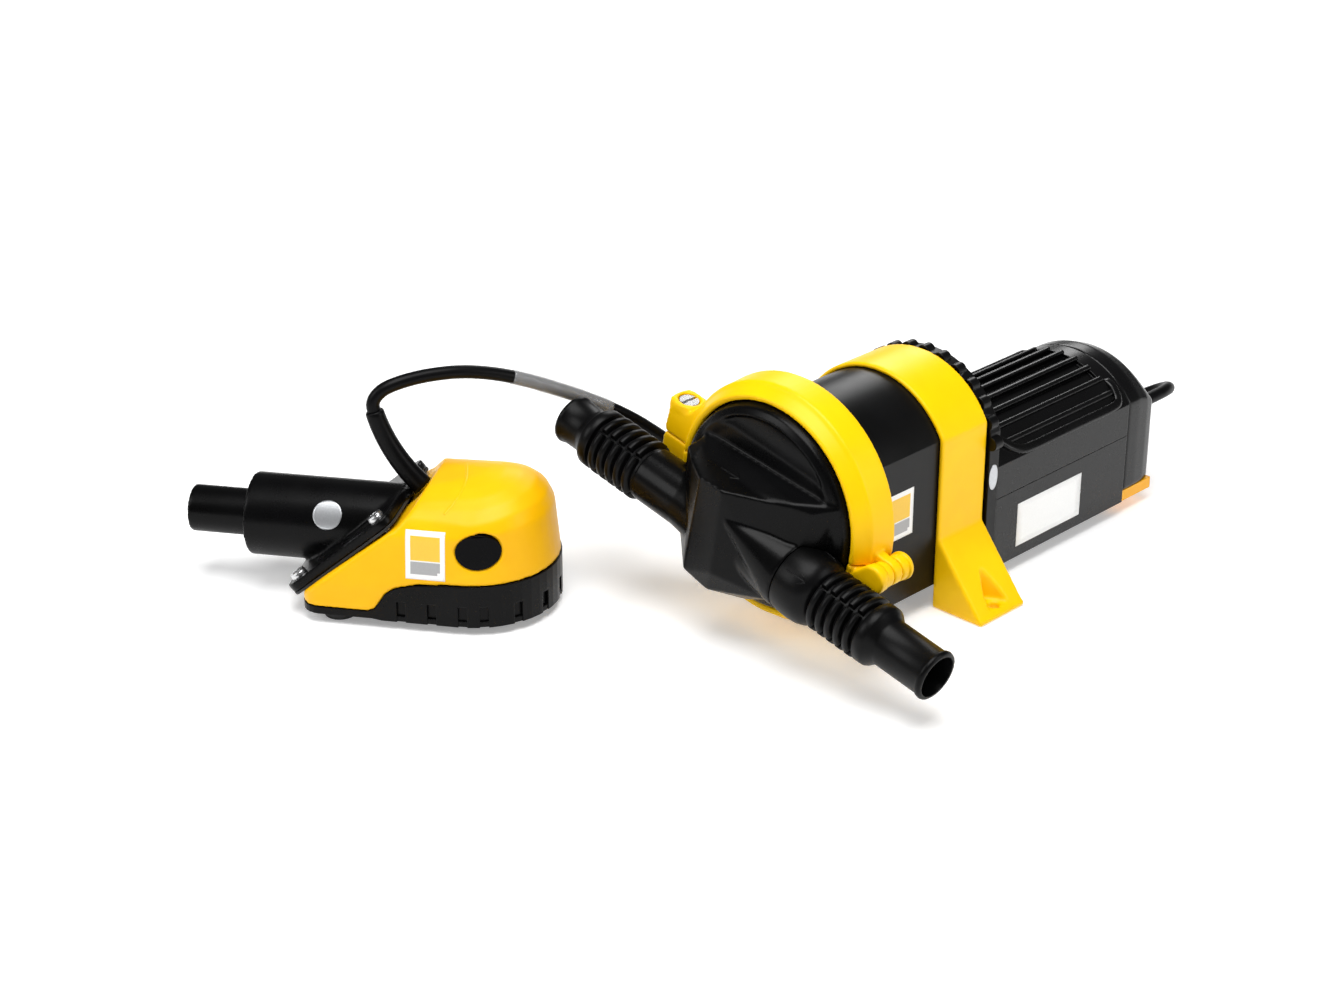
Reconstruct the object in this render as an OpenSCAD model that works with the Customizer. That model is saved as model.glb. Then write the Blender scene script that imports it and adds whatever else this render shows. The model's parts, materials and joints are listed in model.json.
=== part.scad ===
// Remote diaphragm bilge pump with its floor strainer and sensor lead.
// Millimetres, +Z up, origin on the floor midway between the two bracket bolts.
// The pump's long axis runs along Y, head at -Y and motor at +Y.

/* [Pump layout] */
// Height of the pump axis above the floor
axis_h = 55; // [53:0.5:60]
// Turn of the head and its clamp about the pump axis, degrees
head_turn = 12.8; // [0:0.1:15]
// Distance from the clamp's front face to the middle of the bracket
bracket_mid = 77; // [74:0.5:80]

/* [Clamp ring] */
// Inner radius of the clamp's front lip
ring_lip_r = 43; // [42:0.1:44]
// Outer radius of the clamp
ring_r = 50; // [49.5:0.1:52]
// Width of the clamp along the axis
ring_w = 18; // [17:0.5:20]
// Radius of the flanges that the clamp draws together
flange_r = 46; // [45.5:0.1:46.5]
// Radius of the hinge knuckle
knuckle_r = 5.2; // [5:0.1:6]
// Radius of the hinge pin
pin_r = 1.6; // [1.4:0.1:2]

/* [Hose tails] */
// Outer radius of the plain hose tail
tail_r = 9.6; // [9.4:0.1:10]
// Radius of the bore through the hose tails
tail_bore_r = 8.4; // [7.5:0.1:8.7]
// Outer radius of the ribs of the larger hose size
rib_r = 12.7; // [12.2:0.1:13.2]
// Radius of the grooves between the ribs
rib_core_r = 11.3; // [11:0.1:11.8]
// Distance from the middle of the head to the outlet lip
outlet_reach = 101.4; // [98:0.1:104]
// Distance from the middle of the head to the inlet lip
inlet_reach = 96.6; // [95:0.1:100]
// Port axis below the pump axis
port_drop = 10.6; // [10:0.1:11]

/* [Pump body] */
// Radius of the body's arched top
body_r = 38; // [37.5:0.1:38.5]
// Half width of the body's flat sides
body_half_w = 33.5; // [33:0.1:34]
// Height of the body's bottom below the axis
body_bottom = 45; // [44:0.5:46]
// Wall of the body
body_wall = 3; // [2.5:0.1:3.5]

/* [Bracket] */
// Width of the bracket along the axis
bracket_w = 28; // [26:0.5:30]
// Thickness of the bracket's strap
strap_t = 2; // [1.8:0.1:3]
// Half width over the feet
foot_half = 59; // [58:0.5:62]
// Distance from the middle to each bolt
bolt_x = 54; // [53.5:0.1:54.5]
// Radius of the bolt holes
bolt_r = 2.4; // [2.1:0.1:2.8]

/* [Motor housing] */
// Sideways offset of the motor from the pump axis
motor_x = 5; // [4.5:0.1:5.5]
// Drop of the motor shaft below the pump axis
motor_drop = 20; // [20:0.1:20]
// Radius of the ribbed vault over the motor
vault_r = 38; // [37.5:0.1:38.5]
// Half width of the motor housing
motor_half_w = 31.5; // [31:0.1:32]
// Bottom of the motor housing below the axis
motor_bottom = 49.5; // [49:0.1:50]
// Front end of the motor housing, from the clamp's front
motor_y0 = 98; // [98:0.5:99]
// Seam between motor housing and end cap
cap_y0 = 187; // [185:0.5:190]
// Rear end of the end cap
cap_y1 = 209; // [207:0.5:211]
// Number of cooling ribs on the vault
rib_count = 7; // [5:1:9]

/* [Gear train] */
// Teeth on the worm wheel
wheel_teeth = 30; // [30:1:30]
// Module of the worm gear
gear_m = 1; // [1:0.1:1]
// Throw of the crank pin, half the diaphragm's stroke
crank_throw = 4.5; // [3:0.1:4.5]

/* [Strainer] */
// Length of the strainer from nose to round end
strainer_len = 99; // [97:0.5:102]
// Width of the strainer
strainer_w = 68; // [66:0.5:70]
// Height of the strainer's crown above its base
strainer_h = 53.5; // [52:0.5:56]
// Height of the pads under the strainer
pad_h = 3.4; // [2:0.1:4]
// Height of the outlet axis above the floor
spout_h = 26; // [25.5:0.1:26.5]
// Radius of the valve housing
spout_r = 16.9; // [16.5:0.1:17.2]
// Slope of the outlet flange, degrees
slope_a = 40.1; // [39:0.1:42]

/* [Sensor lead] */
// Outer diameter of the lead
lead_d = 5.5; // [5.5:0.1:5.5]
// Radius of the coil's outermost turn
coil_r = 37; // [36:0.5:40]

/* [Hidden] */

$fn = 64;
yellow = "#ffd400";
black = "#1b1b1c";
rubber = "#262626";
steel = "#c4c6c8";
slip = 0.3;
soft_fn = 24;

// ---------- frames ----------

// The pump's own frame: axis along Y, y = 0 at the clamp's front face
module pump_frame() translate([0, -bracket_mid, axis_h]) children();

// The head and its clamp are turned together about the pump axis
module head_frame() pump_frame() rotate([0, head_turn, 0]) children();

// Lays a shape built along Z down along +Y
module along_y() rotate([-90, 0, 0]) children();

// Lays a shape built along Z down along +X
module along_x() rotate([0, 90, 0]) children();

// Port frame: X along the ports, at the height of the port axis
port_y = -11.3;
module port_frame() head_frame() translate([0, port_y, -port_drop]) children();

// A prism along Y from y0 to y1 with an outline drawn as x, z
module prism_y(y0, y1) translate([0, y1, 0]) rotate([90, 0, 0]) linear_extrude(y1 - y0) children();

// ---------- swept leads ----------

function unit(v) = v / norm(v);
function clampi(i, n) = max(0, min(n - 1, i));
function tangents(p, first, last) = [for (i = [0:len(p) - 1])
    i == 0 ? unit(first) : i == len(p) - 1 ? unit(last) : unit(p[i + 1] - p[i - 1])];
function carry(n, t) = unit(n - (n * t) * t);
function normals(t, n0) = [for (i = 0, n = carry(n0, t[0]); i < len(t);
    i = i + 1, n = carry(n, t[clampi(i, len(t))])) n];

// Sweeps a round lead of the given number of sides along the points p
module tube(p, sides, first, last, n0) {
    t = tangents(p, first, last);
    n = normals(t, n0);
    c = len(p) - 1;
    polyhedron(
        [for (i = [0:c]) for (k = [0:sides - 1]) let (a = 360 * k / sides)
            p[i] + lead_d / 2 * (cos(a) * n[i] + sin(a) * cross(t[i], n[i]))],
        concat(
            [for (i = [0:c - 1]) for (k = [0:sides - 1]) let (j = (k + 1) % sides)
                [i * sides + k, (i + 1) * sides + k, (i + 1) * sides + j]],
            [for (i = [0:c - 1]) for (k = [0:sides - 1]) let (j = (k + 1) % sides)
                [i * sides + k, (i + 1) * sides + j, i * sides + j]],
            [for (k = [1:sides - 2]) [0, k, k + 1]],
            [for (k = [1:sides - 2]) [c * sides, c * sides + k + 1, c * sides + k]]));
}

// ---------- pump head ----------

flange_t = 3.5;
head_back = 9;
web_r = ring_lip_r - 0.6;
chamber_r = 27;
chamber_y = 1.2;
seat_x = 9;
stub_x_out = 28.4;
stub_x_in = 29;
stub_r = 15.5;
plug_r = 11;
plug_l = 7.4;
plug_gap = 0.1;
outlet_collar_r = 13.6;
inlet_collar_r = 12.6;

// Corners of the raised valve chest in the head's frame
chest = [
    [-15, -21.5, 12], [-3, -21.5, 12.5], [7, -18, 14.5], [21, -12, 17.5], [28, -8, 17], [32, -5, 10.5],
    [-24, -17.5, -16.5], [-16, -19.5, -30], [-4, -19.5, -32], [11, -17.5, -27], [27, -15.5, -20],
    [-35, 0, 12], [-33, -2, 16], [34, -2, 20], [-33, 0, -20], [-20, 0, -34], [8, 0, -37], [33, 0, -23], [37, 0, 0]];

module chest_hull() hull() for (p = chest) translate(p) sphere(2, $fn = 12);

module head_disc() along_y() rotate_extrude($fn = 96) polygon([
    [0, -3.8], [34, -3.8], [web_r - 4.5, -4.5], [web_r - 1.2, -2.6], [web_r, 1],
    [web_r, head_back - flange_t], [flange_r, head_back - flange_t], [flange_r, head_back], [0, head_back]]);

// Shallow trough in the upper part of the face, inside the rim
module face_trough() intersection() {
    translate([0, -22.4, 34]) along_x() cylinder(h = 90, r = 20, center = true);
    translate([0, -20, 0]) along_y() cylinder(h = 30, r = web_r - 4.5, $fn = 96);
}

// Space around the clamp that the hose tails are relieved for
module clamp_relief() head_frame() along_y() difference() {
    rotate_extrude($fn = 96) polygon([
        [ring_lip_r - 0.5, -1.1], [ring_lip_r + 2.6, -1.1], [ring_r - 1.6, 4], [ring_r + 12, 4],
        [ring_r + 12, 30], [ring_lip_r - 0.5, 30]]);
}

module pump_head() color(black) difference() {
    union() {
        difference() {
            head_frame() head_disc();
            head_frame() face_trough();
        }
        head_frame() chest_hull();
        port_frame() translate([-stub_x_in, 0, 0]) along_x() cylinder(h = stub_x_in, r1 = 13.6, r2 = stub_r);
        port_frame() along_x() cylinder(h = stub_x_out, r1 = stub_r - 4, r2 = 14.2);
    }
    // pumping chamber on the diaphragm's side
    head_frame() along_y() rotate_extrude($fn = 96) polygon([
        [0, chamber_y], [chamber_r, chamber_y], [roll_r + 0.4, head_back - 3], [roll_r + 0.4, head_back + 1], [0, head_back + 1]]);
    // valve chamber between the two flaps
    port_frame() translate([-seat_x, 0, 0]) along_x() cylinder(h = 2 * seat_x, r = flap_r + 0.6);
    port_frame() translate([-seat_x, 0, -11.7]) cube([2 * seat_x, 15.5, 23.4]);
    port_frame() translate([-seat_x, -4, 0]) cube([2 * seat_x, 6, 11.7]);
    port_frame() translate([-60, 0, 0]) along_x() cylinder(h = 60, r = tail_bore_r);
    port_frame() along_x() cylinder(h = 60, r = tail_bore_r);
    port_frame() translate([seat_x + 1.5, 0, 0]) along_x() cylinder(h = 30, r = plug_r + plug_gap);
    port_frame() translate([-80, 0, 0]) along_x() cylinder(h = 80 - stub_x_in + plug_l + 0.3, r = plug_r + plug_gap);
    // troughs where the hose tails cross the rim
    port_frame() translate([stub_x_out, 0, 0]) along_x() cylinder(h = 40, r = outlet_collar_r + slip);
    port_frame() translate([-stub_x_in - 40, 0, 0]) along_x() cylinder(h = 40, r = inlet_collar_r + slip);
}

// ---------- hose tails ----------

// A moulded hose tail along +Z: plug, collar, five ribs, cone, plain tail and rolled lip
module tail_profile(root, reach, rib0, rib1, cone_end, collar_r) rotate_extrude() polygon(concat(
    [[tail_bore_r, root - plug_l], [plug_r, root - plug_l], [plug_r, root], [collar_r, root]],
    [[collar_r, rib0 - 1], [rib_core_r, rib0]],
    [for (i = [0:4]) for (p = [[0.12, 0], [0.2, 1], [0.72, 1], [0.85, 0]])
        [p[1] == 1 ? rib_r : rib_core_r, rib0 + (rib1 - rib0) * (i + p[0]) / 5]],
    [[rib_core_r, rib1], [rib_core_r + 0.8, rib1 + 1], [rib_core_r + 0.8, rib1 + 3], [tail_r, cone_end]],
    [[tail_r, reach - 2.6], [tail_r + 0.6, reach - 1.8], [tail_r + 0.6, reach - 0.6],
        [tail_r + 0.1, reach], [tail_bore_r, reach]]));

module rib_webs(rib0, rib1) for (a = [45:90:315]) rotate([0, 0, a])
    translate([tail_r, -0.9, rib0]) cube([rib_r - tail_r - 0.7, 1.8, rib1 - rib0]);

module hose_tail(root, reach, rib0, rib1, cone_end, collar_r) {
    tail_profile(root, reach, rib0, rib1, cone_end, collar_r);
    rib_webs(rib0, rib1);
}

module outlet_tail() color(black) difference() {
    port_frame() along_x() hose_tail(stub_x_out, outlet_reach, 46, 69, 79, outlet_collar_r);
    clamp_relief();
}

module inlet_tail() color(black) difference() {
    port_frame() mirror([1, 0, 0]) along_x() hose_tail(stub_x_in, inlet_reach, 52, 79, 84, inlet_collar_r);
    clamp_relief();
}

// ---------- valve flaps ----------

flap_r = 9.3;
flap_t = 1.5;
flap_pin_z = 10;

module flap_shape(r, top) {
    along_x() cylinder(h = flap_t, r = r);
    translate([0, -3, 0]) cube([flap_t, 6, top]);
    translate([flap_t / 2, -2, top]) along_y() cylinder(h = 4, r = flap_t / 2, $fn = 24);
}

module inlet_flap() color(rubber) port_frame() translate([-seat_x + 0.2, 0, 0]) flap_shape(flap_r, flap_pin_z);
module outlet_flap() color(rubber) port_frame() translate([seat_x + 1.7, 0, 0]) flap_shape(flap_r, flap_pin_z);

// ---------- diaphragm ----------

rim_t = 2.4;
roll_r = 29;
plate_r = 19;
rim_back = head_back + rim_t;

module diaphragm_rim() color(rubber) head_frame() along_y() rotate_extrude($fn = 96) polygon([
    [roll_r + 0.3, head_back], [flange_r - 0.5, head_back], [flange_r - 0.5, rim_back],
    [33.8, rim_back], [33.2, rim_back + 2.6], [roll_r + 0.3, rim_back + 3.2]]);

module diaphragm() color(rubber) head_frame() along_y() rotate_extrude($fn = 96) polygon([
    [3, head_back], [plate_r + 2, head_back], [25, head_back + 2], [roll_r, rim_back + 0.8],
    [roll_r, rim_back + 3.2], [24, rim_back + 2.2], [plate_r + 1, rim_back], [3, rim_back]]);

module front_plate() color(black) head_frame() along_y() rotate_extrude() polygon([
    [0, head_back - 2.6], [plate_r - 5, head_back - 2.6], [plate_r, head_back - 1.4], [plate_r, head_back],
    [3, head_back], [3, rim_back], [0, rim_back]]);

module back_plate() color(black) head_frame() along_y() rotate_extrude() polygon([
    [0, rim_back], [plate_r, rim_back], [plate_r, rim_back + 2], [7, rim_back + 3], [7, rim_back + 6], [0, rim_back + 6]]);

// ---------- gear train ----------

worm_pitch_r = 5;
wheel_pitch_r = gear_m * wheel_teeth / 2;
wheel_y = 58;
wheel_w = 7;
crank_pin_r = 3;
yoke_half_y = crank_pin_r + 2 * crank_throw + 0.6;
yoke_half_z = crank_pin_r + crank_throw + 0.6;
yoke_bar = 3;
yoke_t = 5;
yoke_x = -3;
wheel_x0 = motor_x - wheel_w / 2;
lead = PI * gear_m;
shaft_hole_r = 3.05;
wheel_shaft_end = body_half_w - body_wall - 0.2;
boss_x0 = 20;

module drive_yoke() color(steel) pump_frame() {
    stem_y0 = rim_back + 6;
    translate([0, stem_y0, 0]) along_y() cylinder(h = 18, r = 4);
    translate([yoke_x - yoke_t / 2, stem_y0 + 15, -5]) cube([yoke_t, wheel_y - yoke_half_y - stem_y0 - 16, 10]);
    translate([yoke_x - yoke_t / 2, wheel_y, -yoke_half_z - yoke_bar]) difference() {
        translate([0, -yoke_half_y - yoke_bar, 0]) cube([yoke_t, 2 * (yoke_half_y + yoke_bar), 2 * (yoke_half_z + yoke_bar)]);
        translate([-1, -yoke_half_y, yoke_bar]) cube([yoke_t + 2, 2 * yoke_half_y, 2 * yoke_half_z]);
    }
}

module worm_wheel() color("#e9e4d4") pump_frame() translate([wheel_x0, wheel_y, 0]) along_x() difference() {
    union() {
        linear_extrude(wheel_w) polygon([for (i = [0:wheel_teeth - 1])
            for (p = [[-0.30, -1.3], [-0.17, 0.9], [0.17, 0.9], [0.30, -1.3]])
            let (a = 360 * (i + p[0]) / wheel_teeth, r = wheel_pitch_r + p[1] * gear_m) [r * cos(a), r * sin(a)]]);
        translate([0, 0, wheel_w - 1]) cylinder(h = boss_x0 - wheel_x0 - wheel_w + 0.8, r = 6);
    }
    translate([0, 0, -1]) cylinder(h = 40, r = shaft_hole_r);
}

module wheel_shaft() color(steel) pump_frame() translate([wheel_x0, wheel_y, 0]) {
    translate([-1.6, 0, 0]) along_x() cylinder(h = wheel_shaft_end - wheel_x0 + 1.6, r = 3);
    translate([-1.6, 0, 0]) along_x() cylinder(h = 1.6, r = 8);
    translate([-9, 0, -crank_throw]) along_x() cylinder(h = 8, r = crank_pin_r);
}

// ---------- clamp ring ----------

lip_t = 2.4;
groove_r = flange_r + slip;
rear_lip_r = 43.5;
groove_y0 = head_back - flange_t - 0.4;
groove_y1 = rim_back + flange_t + 0.6;
split = 0.4;
hinge_x = ring_r + knuckle_r + 0.4;
hinge_y = [3, 7.8, 12.5];
hinge_l = [4.5, 4.4, 4.5];
lug_x = 55;
lug_y = [3, 15];
lug_top = 12.4;
lug_foot = 12;
screw_r = 2;
screw_tip = 10;

// Section of the clamp: front lip, groove for the two flanges, rear lip
module ring_section() polygon([
    [ring_lip_r, 0], [ring_lip_r + 2.2, -0.6], [ring_r - 2, 4.5], [ring_r - 0.6, 5.5], [ring_r, ring_w], [rear_lip_r, ring_w],
    [rear_lip_r, groove_y1], [groove_r, groove_y1], [groove_r, groove_y0], [ring_lip_r, lip_t]]);

module ring_half(upper) intersection() {
    along_y() rotate_extrude($fn = 96) ring_section();
    translate([-80, -10, upper ? split / 2 : -80 - split / 2]) cube([160, 60, 80]);
}

// Side view of a screw lug with its gusset up to the ring
module lug(h) prism_y(lug_y[0], lug_y[1]) polygon([
    [-46, split / 2], [-lug_x - 4, split / 2], [-lug_x - 5, 2], [-lug_x - 4.5, h - 1], [-lug_x - 3.5, h],
    [-lug_x + 4, h], [-lug_x + 5.5, h + 1], [-43, h + 9], [-44, h]]);

module groove_space() translate([0, groove_y0, 0]) along_y() cylinder(h = groove_y1 - groove_y0, r = groove_r, $fn = 96);
module pin_hole() translate([hinge_x, -5, 0]) along_y() cylinder(h = 40, r = pin_r + 0.05);

module clamp_upper() color(yellow) head_frame() difference() {
    union() {
        ring_half(true);
        lug(lug_top);
        translate([hinge_x, hinge_y[1], 0]) along_y() cylinder(h = hinge_l[1], r = knuckle_r);
        translate([ring_r - 3.4, hinge_y[1], split / 2]) cube([knuckle_r + 3.8, hinge_l[1], knuckle_r - split / 2]);
    }
    groove_space();
    pin_hole();
    translate([-lug_x, (lug_y[0] + lug_y[1]) / 2, -20]) cylinder(h = 60, r = screw_r + 0.1);
}

module clamp_lower() color(yellow) head_frame() difference() {
    union() {
        ring_half(false);
        mirror([0, 0, 1]) lug(lug_foot);
        for (i = [0, 2]) {
            translate([hinge_x, hinge_y[i], 0]) along_y() cylinder(h = hinge_l[i], r = knuckle_r);
            translate([ring_r - 3.4, hinge_y[i], -knuckle_r]) cube([knuckle_r + 3.8, hinge_l[i], knuckle_r - split / 2]);
        }
    }
    groove_space();
    pin_hole();
    translate([-lug_x, (lug_y[0] + lug_y[1]) / 2, -60]) cylinder(h = 100, r = screw_r + 1.2);
    translate([-lug_x, (lug_y[0] + lug_y[1]) / 2, -lug_foot - 1]) cylinder(h = 4.2, r = 4.2, $fn = 6);
}

module clamp_hinge_pin() color(steel) head_frame() translate([hinge_x, hinge_y[0] - 0.4, 0]) along_y()
    cylinder(h = hinge_y[2] + hinge_l[2] - hinge_y[0] + 0.8, r = pin_r);

module clamp_screw() color(steel) head_frame() translate([-lug_x, (lug_y[0] + lug_y[1]) / 2, 0]) {
    translate([0, 0, -screw_tip]) cylinder(h = screw_tip + lug_top, r = screw_r);
    difference() {
        translate([0, 0, lug_top]) cylinder(h = 2.6, r = 4);
        translate([-0.6, -5, lug_top + 1.6]) cube([1.2, 10, 4]);
    }
}

module clamp_nut() color(steel) head_frame() translate([-lug_x, (lug_y[0] + lug_y[1]) / 2, -lug_foot]) difference() {
    cylinder(h = 3.2, r = 4.15, $fn = 6);
    translate([0, 0, -1]) cylinder(h = 9, r = screw_r + 0.9);
}

// ---------- pump body ----------

body_back = 92;
body_front = rim_back;

// Arched outline with flat sides
module arch_outline(r, half_w, bottom) intersection() {
    union() {
        circle(r, $fn = 96);
        translate([-half_w, -bottom]) square([2 * half_w, bottom]);
    }
    translate([-half_w, -bottom]) square([2 * half_w, bottom + r]);
}

module pump_body() color(black) pump_frame() difference() {
    union() {
        along_y() translate([0, 0, body_front]) cylinder(h = flange_t, r = flange_r, $fn = 96);
        along_y() translate([0, 0, body_front]) cylinder(h = 8, r = 42, $fn = 96);
        prism_y(ring_w + 0.6, body_back) arch_outline(body_r, body_half_w, body_bottom);
    }
    along_y() translate([0, 0, body_front - 1]) cylinder(h = 5, r = roll_r + 5, $fn = 96);
    along_y() translate([0, 0, body_front - 1]) cylinder(h = 12, r = roll_r + 1.2, $fn = 96);
    difference() {
        prism_y(ring_w + 3.6, body_back + 1) arch_outline(body_r - body_wall, body_half_w - body_wall, body_bottom - body_wall);
        translate([boss_x0, wheel_y, 0]) along_x() cylinder(h = 30, r = 7);
    }
    translate([boss_x0 - 1, wheel_y, 0]) along_x() cylinder(h = body_half_w - body_wall - boss_x0 + 1, r = shaft_hole_r);
}

// ---------- bracket ----------

br_y0 = bracket_mid - bracket_w / 2;
br_y1 = bracket_mid + bracket_w / 2;
waist_z = -24.5;
pad_z = -axis_h + 3.5;

// One side of the strap below the arch, from the waist out to the foot
strap_side = [[body_half_w + strap_t, 0], [body_half_w + strap_t, waist_z], [foot_half - 1.5, -axis_h + 2.6],
    [foot_half, -axis_h + 1.6], [foot_half, -axis_h]];

module strap_outline() difference() {
    union() {
        intersection() {
            circle(body_r + strap_t, $fn = 96);
            translate([-body_half_w - strap_t, -1]) square([2 * (body_half_w + strap_t), 60]);
        }
        polygon(concat([for (p = strap_side) [-p[0], p[1]]], [for (i = [len(strap_side) - 1:-1:0]) strap_side[i]]));
    }
    arch_outline(body_r, body_half_w, body_bottom + 20);
}

module mounting_bracket() color(yellow) pump_frame() difference() {
    prism_y(br_y0, br_y1) strap_outline();
    for (s = [-1, 1]) translate([s * bolt_x, bracket_mid, 0]) {
        translate([0, 0, -axis_h - 1]) cylinder(h = 10, r = bolt_r);
        // three-cornered recess that lets the bolt head down onto its pad
        translate([0, 0, pad_z]) linear_extrude(40) hull() {
            circle(4.8);
            translate([-s * 7.5, 0]) circle(0.6, $fn = 12);
            translate([s * 7, -7]) circle(0.6, $fn = 12);
            translate([s * 7, 7]) circle(0.6, $fn = 12);
        }
    }
}

// ---------- gearbox cover ----------

lobe_n = 28;
cover_r = 38.6;
cover_half_w = 36.5;
seat_r = 8;

module gearbox_cover() color(black) pump_frame() difference() {
    union() {
        prism_y(body_back, motor_y0) arch_outline(cover_r, cover_half_w, motor_bottom);
        for (i = [-6:6]) rotate([0, i * 360 / lobe_n, 0]) translate([0, body_back, cover_r - 1])
            along_y() cylinder(h = 4.5, r = 2.9, $fn = 24);
        prism_y(motor_y0 - 4, motor_y0) translate([motor_x, 0]) motor_outline(0, 0);
    }
    // shaft passage and bearing seat
    translate([motor_x, body_back - 1, -motor_drop]) along_y() cylinder(h = 20, r = 6);
    translate([motor_x, body_back + 1, -motor_drop]) along_y() cylinder(h = 20, r = seat_r);
}

// ---------- motor housing ----------

vault_z = -25;
seam_z = -18;
seam_gap = 0.2;
house_wall = 3;
ledge_z = -4;

// Outline of the motor housing, shrunk by g, with its vault dropped by d
module motor_outline(g, d) intersection() {
    union() {
        translate([0, vault_z - d]) circle(vault_r - g, $fn = 96);
        translate([-motor_half_w + g, -motor_bottom + g]) square([2 * (motor_half_w - g), motor_bottom + ledge_z - d]);
    }
    translate([-motor_half_w + g, -motor_bottom + g]) square([2 * (motor_half_w - g), 100]);
}

module motor_shell(y0, y1) difference() {
    prism_y(y0, y1) translate([motor_x, 0]) motor_outline(0, 0);
    prism_y(y0 - 1, y1 + 1) translate([motor_x, 0]) motor_outline(house_wall, 0);
}

rib_depth = 1.6;
rib_pitch = 11;

module motor_housing() color(black) pump_frame() difference() {
    motor_shell(motor_y0, cap_y0);
    translate([-60, motor_y0 - 1, -80]) cube([120, 200, 80 + seam_z]);
    // valleys between the ribs
    translate([motor_x, 0, vault_z]) for (i = [0:rib_count - 2]) rotate([0, (i - (rib_count - 2) / 2) * rib_pitch, 0])
        translate([-2.6, motor_y0 + 8, vault_r - rib_depth]) cube([5.2, cap_y0 - motor_y0 - 16, 10]);
}

module lower_cover() color(black) pump_frame() difference() {
    motor_shell(motor_y0, cap_y0);
    translate([-60, motor_y0 - 1, seam_z - seam_gap]) cube([120, 200, 100]);
}

foot_t = 5;
gland_x = 20;
gland_z = -18;
gland_r = 4.6;

module cap_slice(y, g, d) prism_y(y, y + 0.5) translate([motor_x, 0]) motor_outline(g, d);

module end_cap() color(black) pump_frame() difference() {
    hull() {
        cap_slice(cap_y0, 0, 0);
        cap_slice(cap_y0 + 7, 0, 0);
        cap_slice(cap_y0 + 14, 0.5, 2);
        cap_slice(cap_y1 - 3.5, 1.5, 5);
        cap_slice(cap_y1 - 0.5, 3.5, 9);
    }
    prism_y(cap_y0 - 1, cap_y0 + 8) translate([motor_x, 0]) inner_cap(house_wall + 0.5, 0);
    prism_y(cap_y0 - 1, cap_y1 - 5) translate([motor_x, 0]) inner_cap(8, 6);
    // seat of the rear foot
    translate([-60, cap_y0 - 5, -motor_bottom - 10]) cube([120, 60, 10 + foot_t]);
    translate([gland_x, cap_y1 - 12, gland_z]) along_y() cylinder(h = 20, r = gland_r);
}

module inner_cap(g, d) intersection() {
    motor_outline(g, d);
    translate([-50, -motor_bottom + foot_t + 2.5]) square([100, 100]);
}

module rear_foot() color(yellow) pump_frame() {
    translate([motor_x - motor_half_w + 0.5, cap_y0, -motor_bottom]) cube([2 * motor_half_w - 1, cap_y1 - cap_y0 - 1, foot_t]);
    translate([motor_x - 18, cap_y0 + 2, -axis_h]) cube([36, cap_y1 - cap_y0 - 6, axis_h - motor_bottom + 0.5]);
}

// ---------- motor ----------

can_l = 70;
can_r = 26.5;
can_y0 = motor_y0;
can_y1 = can_y0 + can_l;
shaft_r = 3;
bearing_r = seat_r - 0.05;

module motor_can() color(steel) pump_frame() translate([motor_x, 0, -motor_drop]) difference() {
    union() {
        translate([0, can_y0, 0]) along_y() cylinder(h = can_l, r = can_r);
        translate([0, can_y1 - 1, 0]) along_y() cylinder(h = 7, r = 10.5);
    }
    translate([0, can_y0 + 2, 0]) along_y() cylinder(h = can_l - 4, r = can_r - 3);
    translate([0, can_y0 - 1, 0]) along_y() cylinder(h = 200, r = shaft_r + 1);
    translate([0, can_y1, 0]) along_y() cylinder(h = 200, r = seat_r);
}

worm_l = 22;
module armature() color("#a9754a") pump_frame() translate([motor_x, 0, -motor_drop]) {
    translate([0, wheel_y - worm_l / 2 - 2, 0]) along_y() cylinder(h = can_y1 + 5 - wheel_y + worm_l / 2 + 2, r = shaft_r);
    translate([0, can_y0 + 10, 0]) along_y() cylinder(h = 40, r = can_r - 4.5);
    translate([0, can_y0 + 54, 0]) along_y() cylinder(h = 9, r = 10);
}

// Single-start thread wound round a sleeve on the motor shaft
worm_steps = 16;
worm_turns = 6;
worm_crest_r = worm_pitch_r + 0.7 * gear_m;
worm_root_r = worm_pitch_r - 1.3 * gear_m;
thread = [[worm_root_r - 0.2, -1], [worm_crest_r, -0.3], [worm_crest_r, 0.3], [worm_root_r - 0.2, 1]];

module worm_thread() {
    n = worm_steps * worm_turns;
    polyhedron(
        [for (i = [0:n]) for (q = thread) let (a = 90 - 360 * i / worm_steps)
            [q[0] * cos(a), q[0] * sin(a), lead * (i - n / 2) / worm_steps + q[1]]],
        concat(
            [for (i = [0:n - 1]) for (k = [0:3]) let (j = (k + 1) % 4) [i * 4 + k, (i + 1) * 4 + j, i * 4 + j]],
            [for (i = [0:n - 1]) for (k = [0:3]) let (j = (k + 1) % 4) [i * 4 + k, (i + 1) * 4 + k, (i + 1) * 4 + j]],
            [[0, 1, 2], [0, 2, 3]],
            [[n * 4, n * 4 + 2, n * 4 + 1], [n * 4, n * 4 + 3, n * 4 + 2]]));
}

module worm() color("#b08d3c") pump_frame() translate([motor_x, wheel_y, -motor_drop]) along_y() difference() {
    union() {
        worm_thread();
        translate([0, 0, -worm_l / 2]) cylinder(h = worm_l, r = worm_root_r, $fn = 32);
    }
    translate([0, 0, -30]) cylinder(h = 60, r = shaft_r + 0.02, $fn = 32);
}

module bearing(y) pump_frame() translate([motor_x, y, -motor_drop]) along_y() difference() {
    cylinder(h = 4.8, r = bearing_r);
    translate([0, 0, -1]) cylinder(h = 10, r = shaft_r + 0.05);
}

module front_bearing() color(steel) bearing(body_back + 1.1);
module rear_bearing() color(steel) bearing(can_y1 + 0.1);

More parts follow.
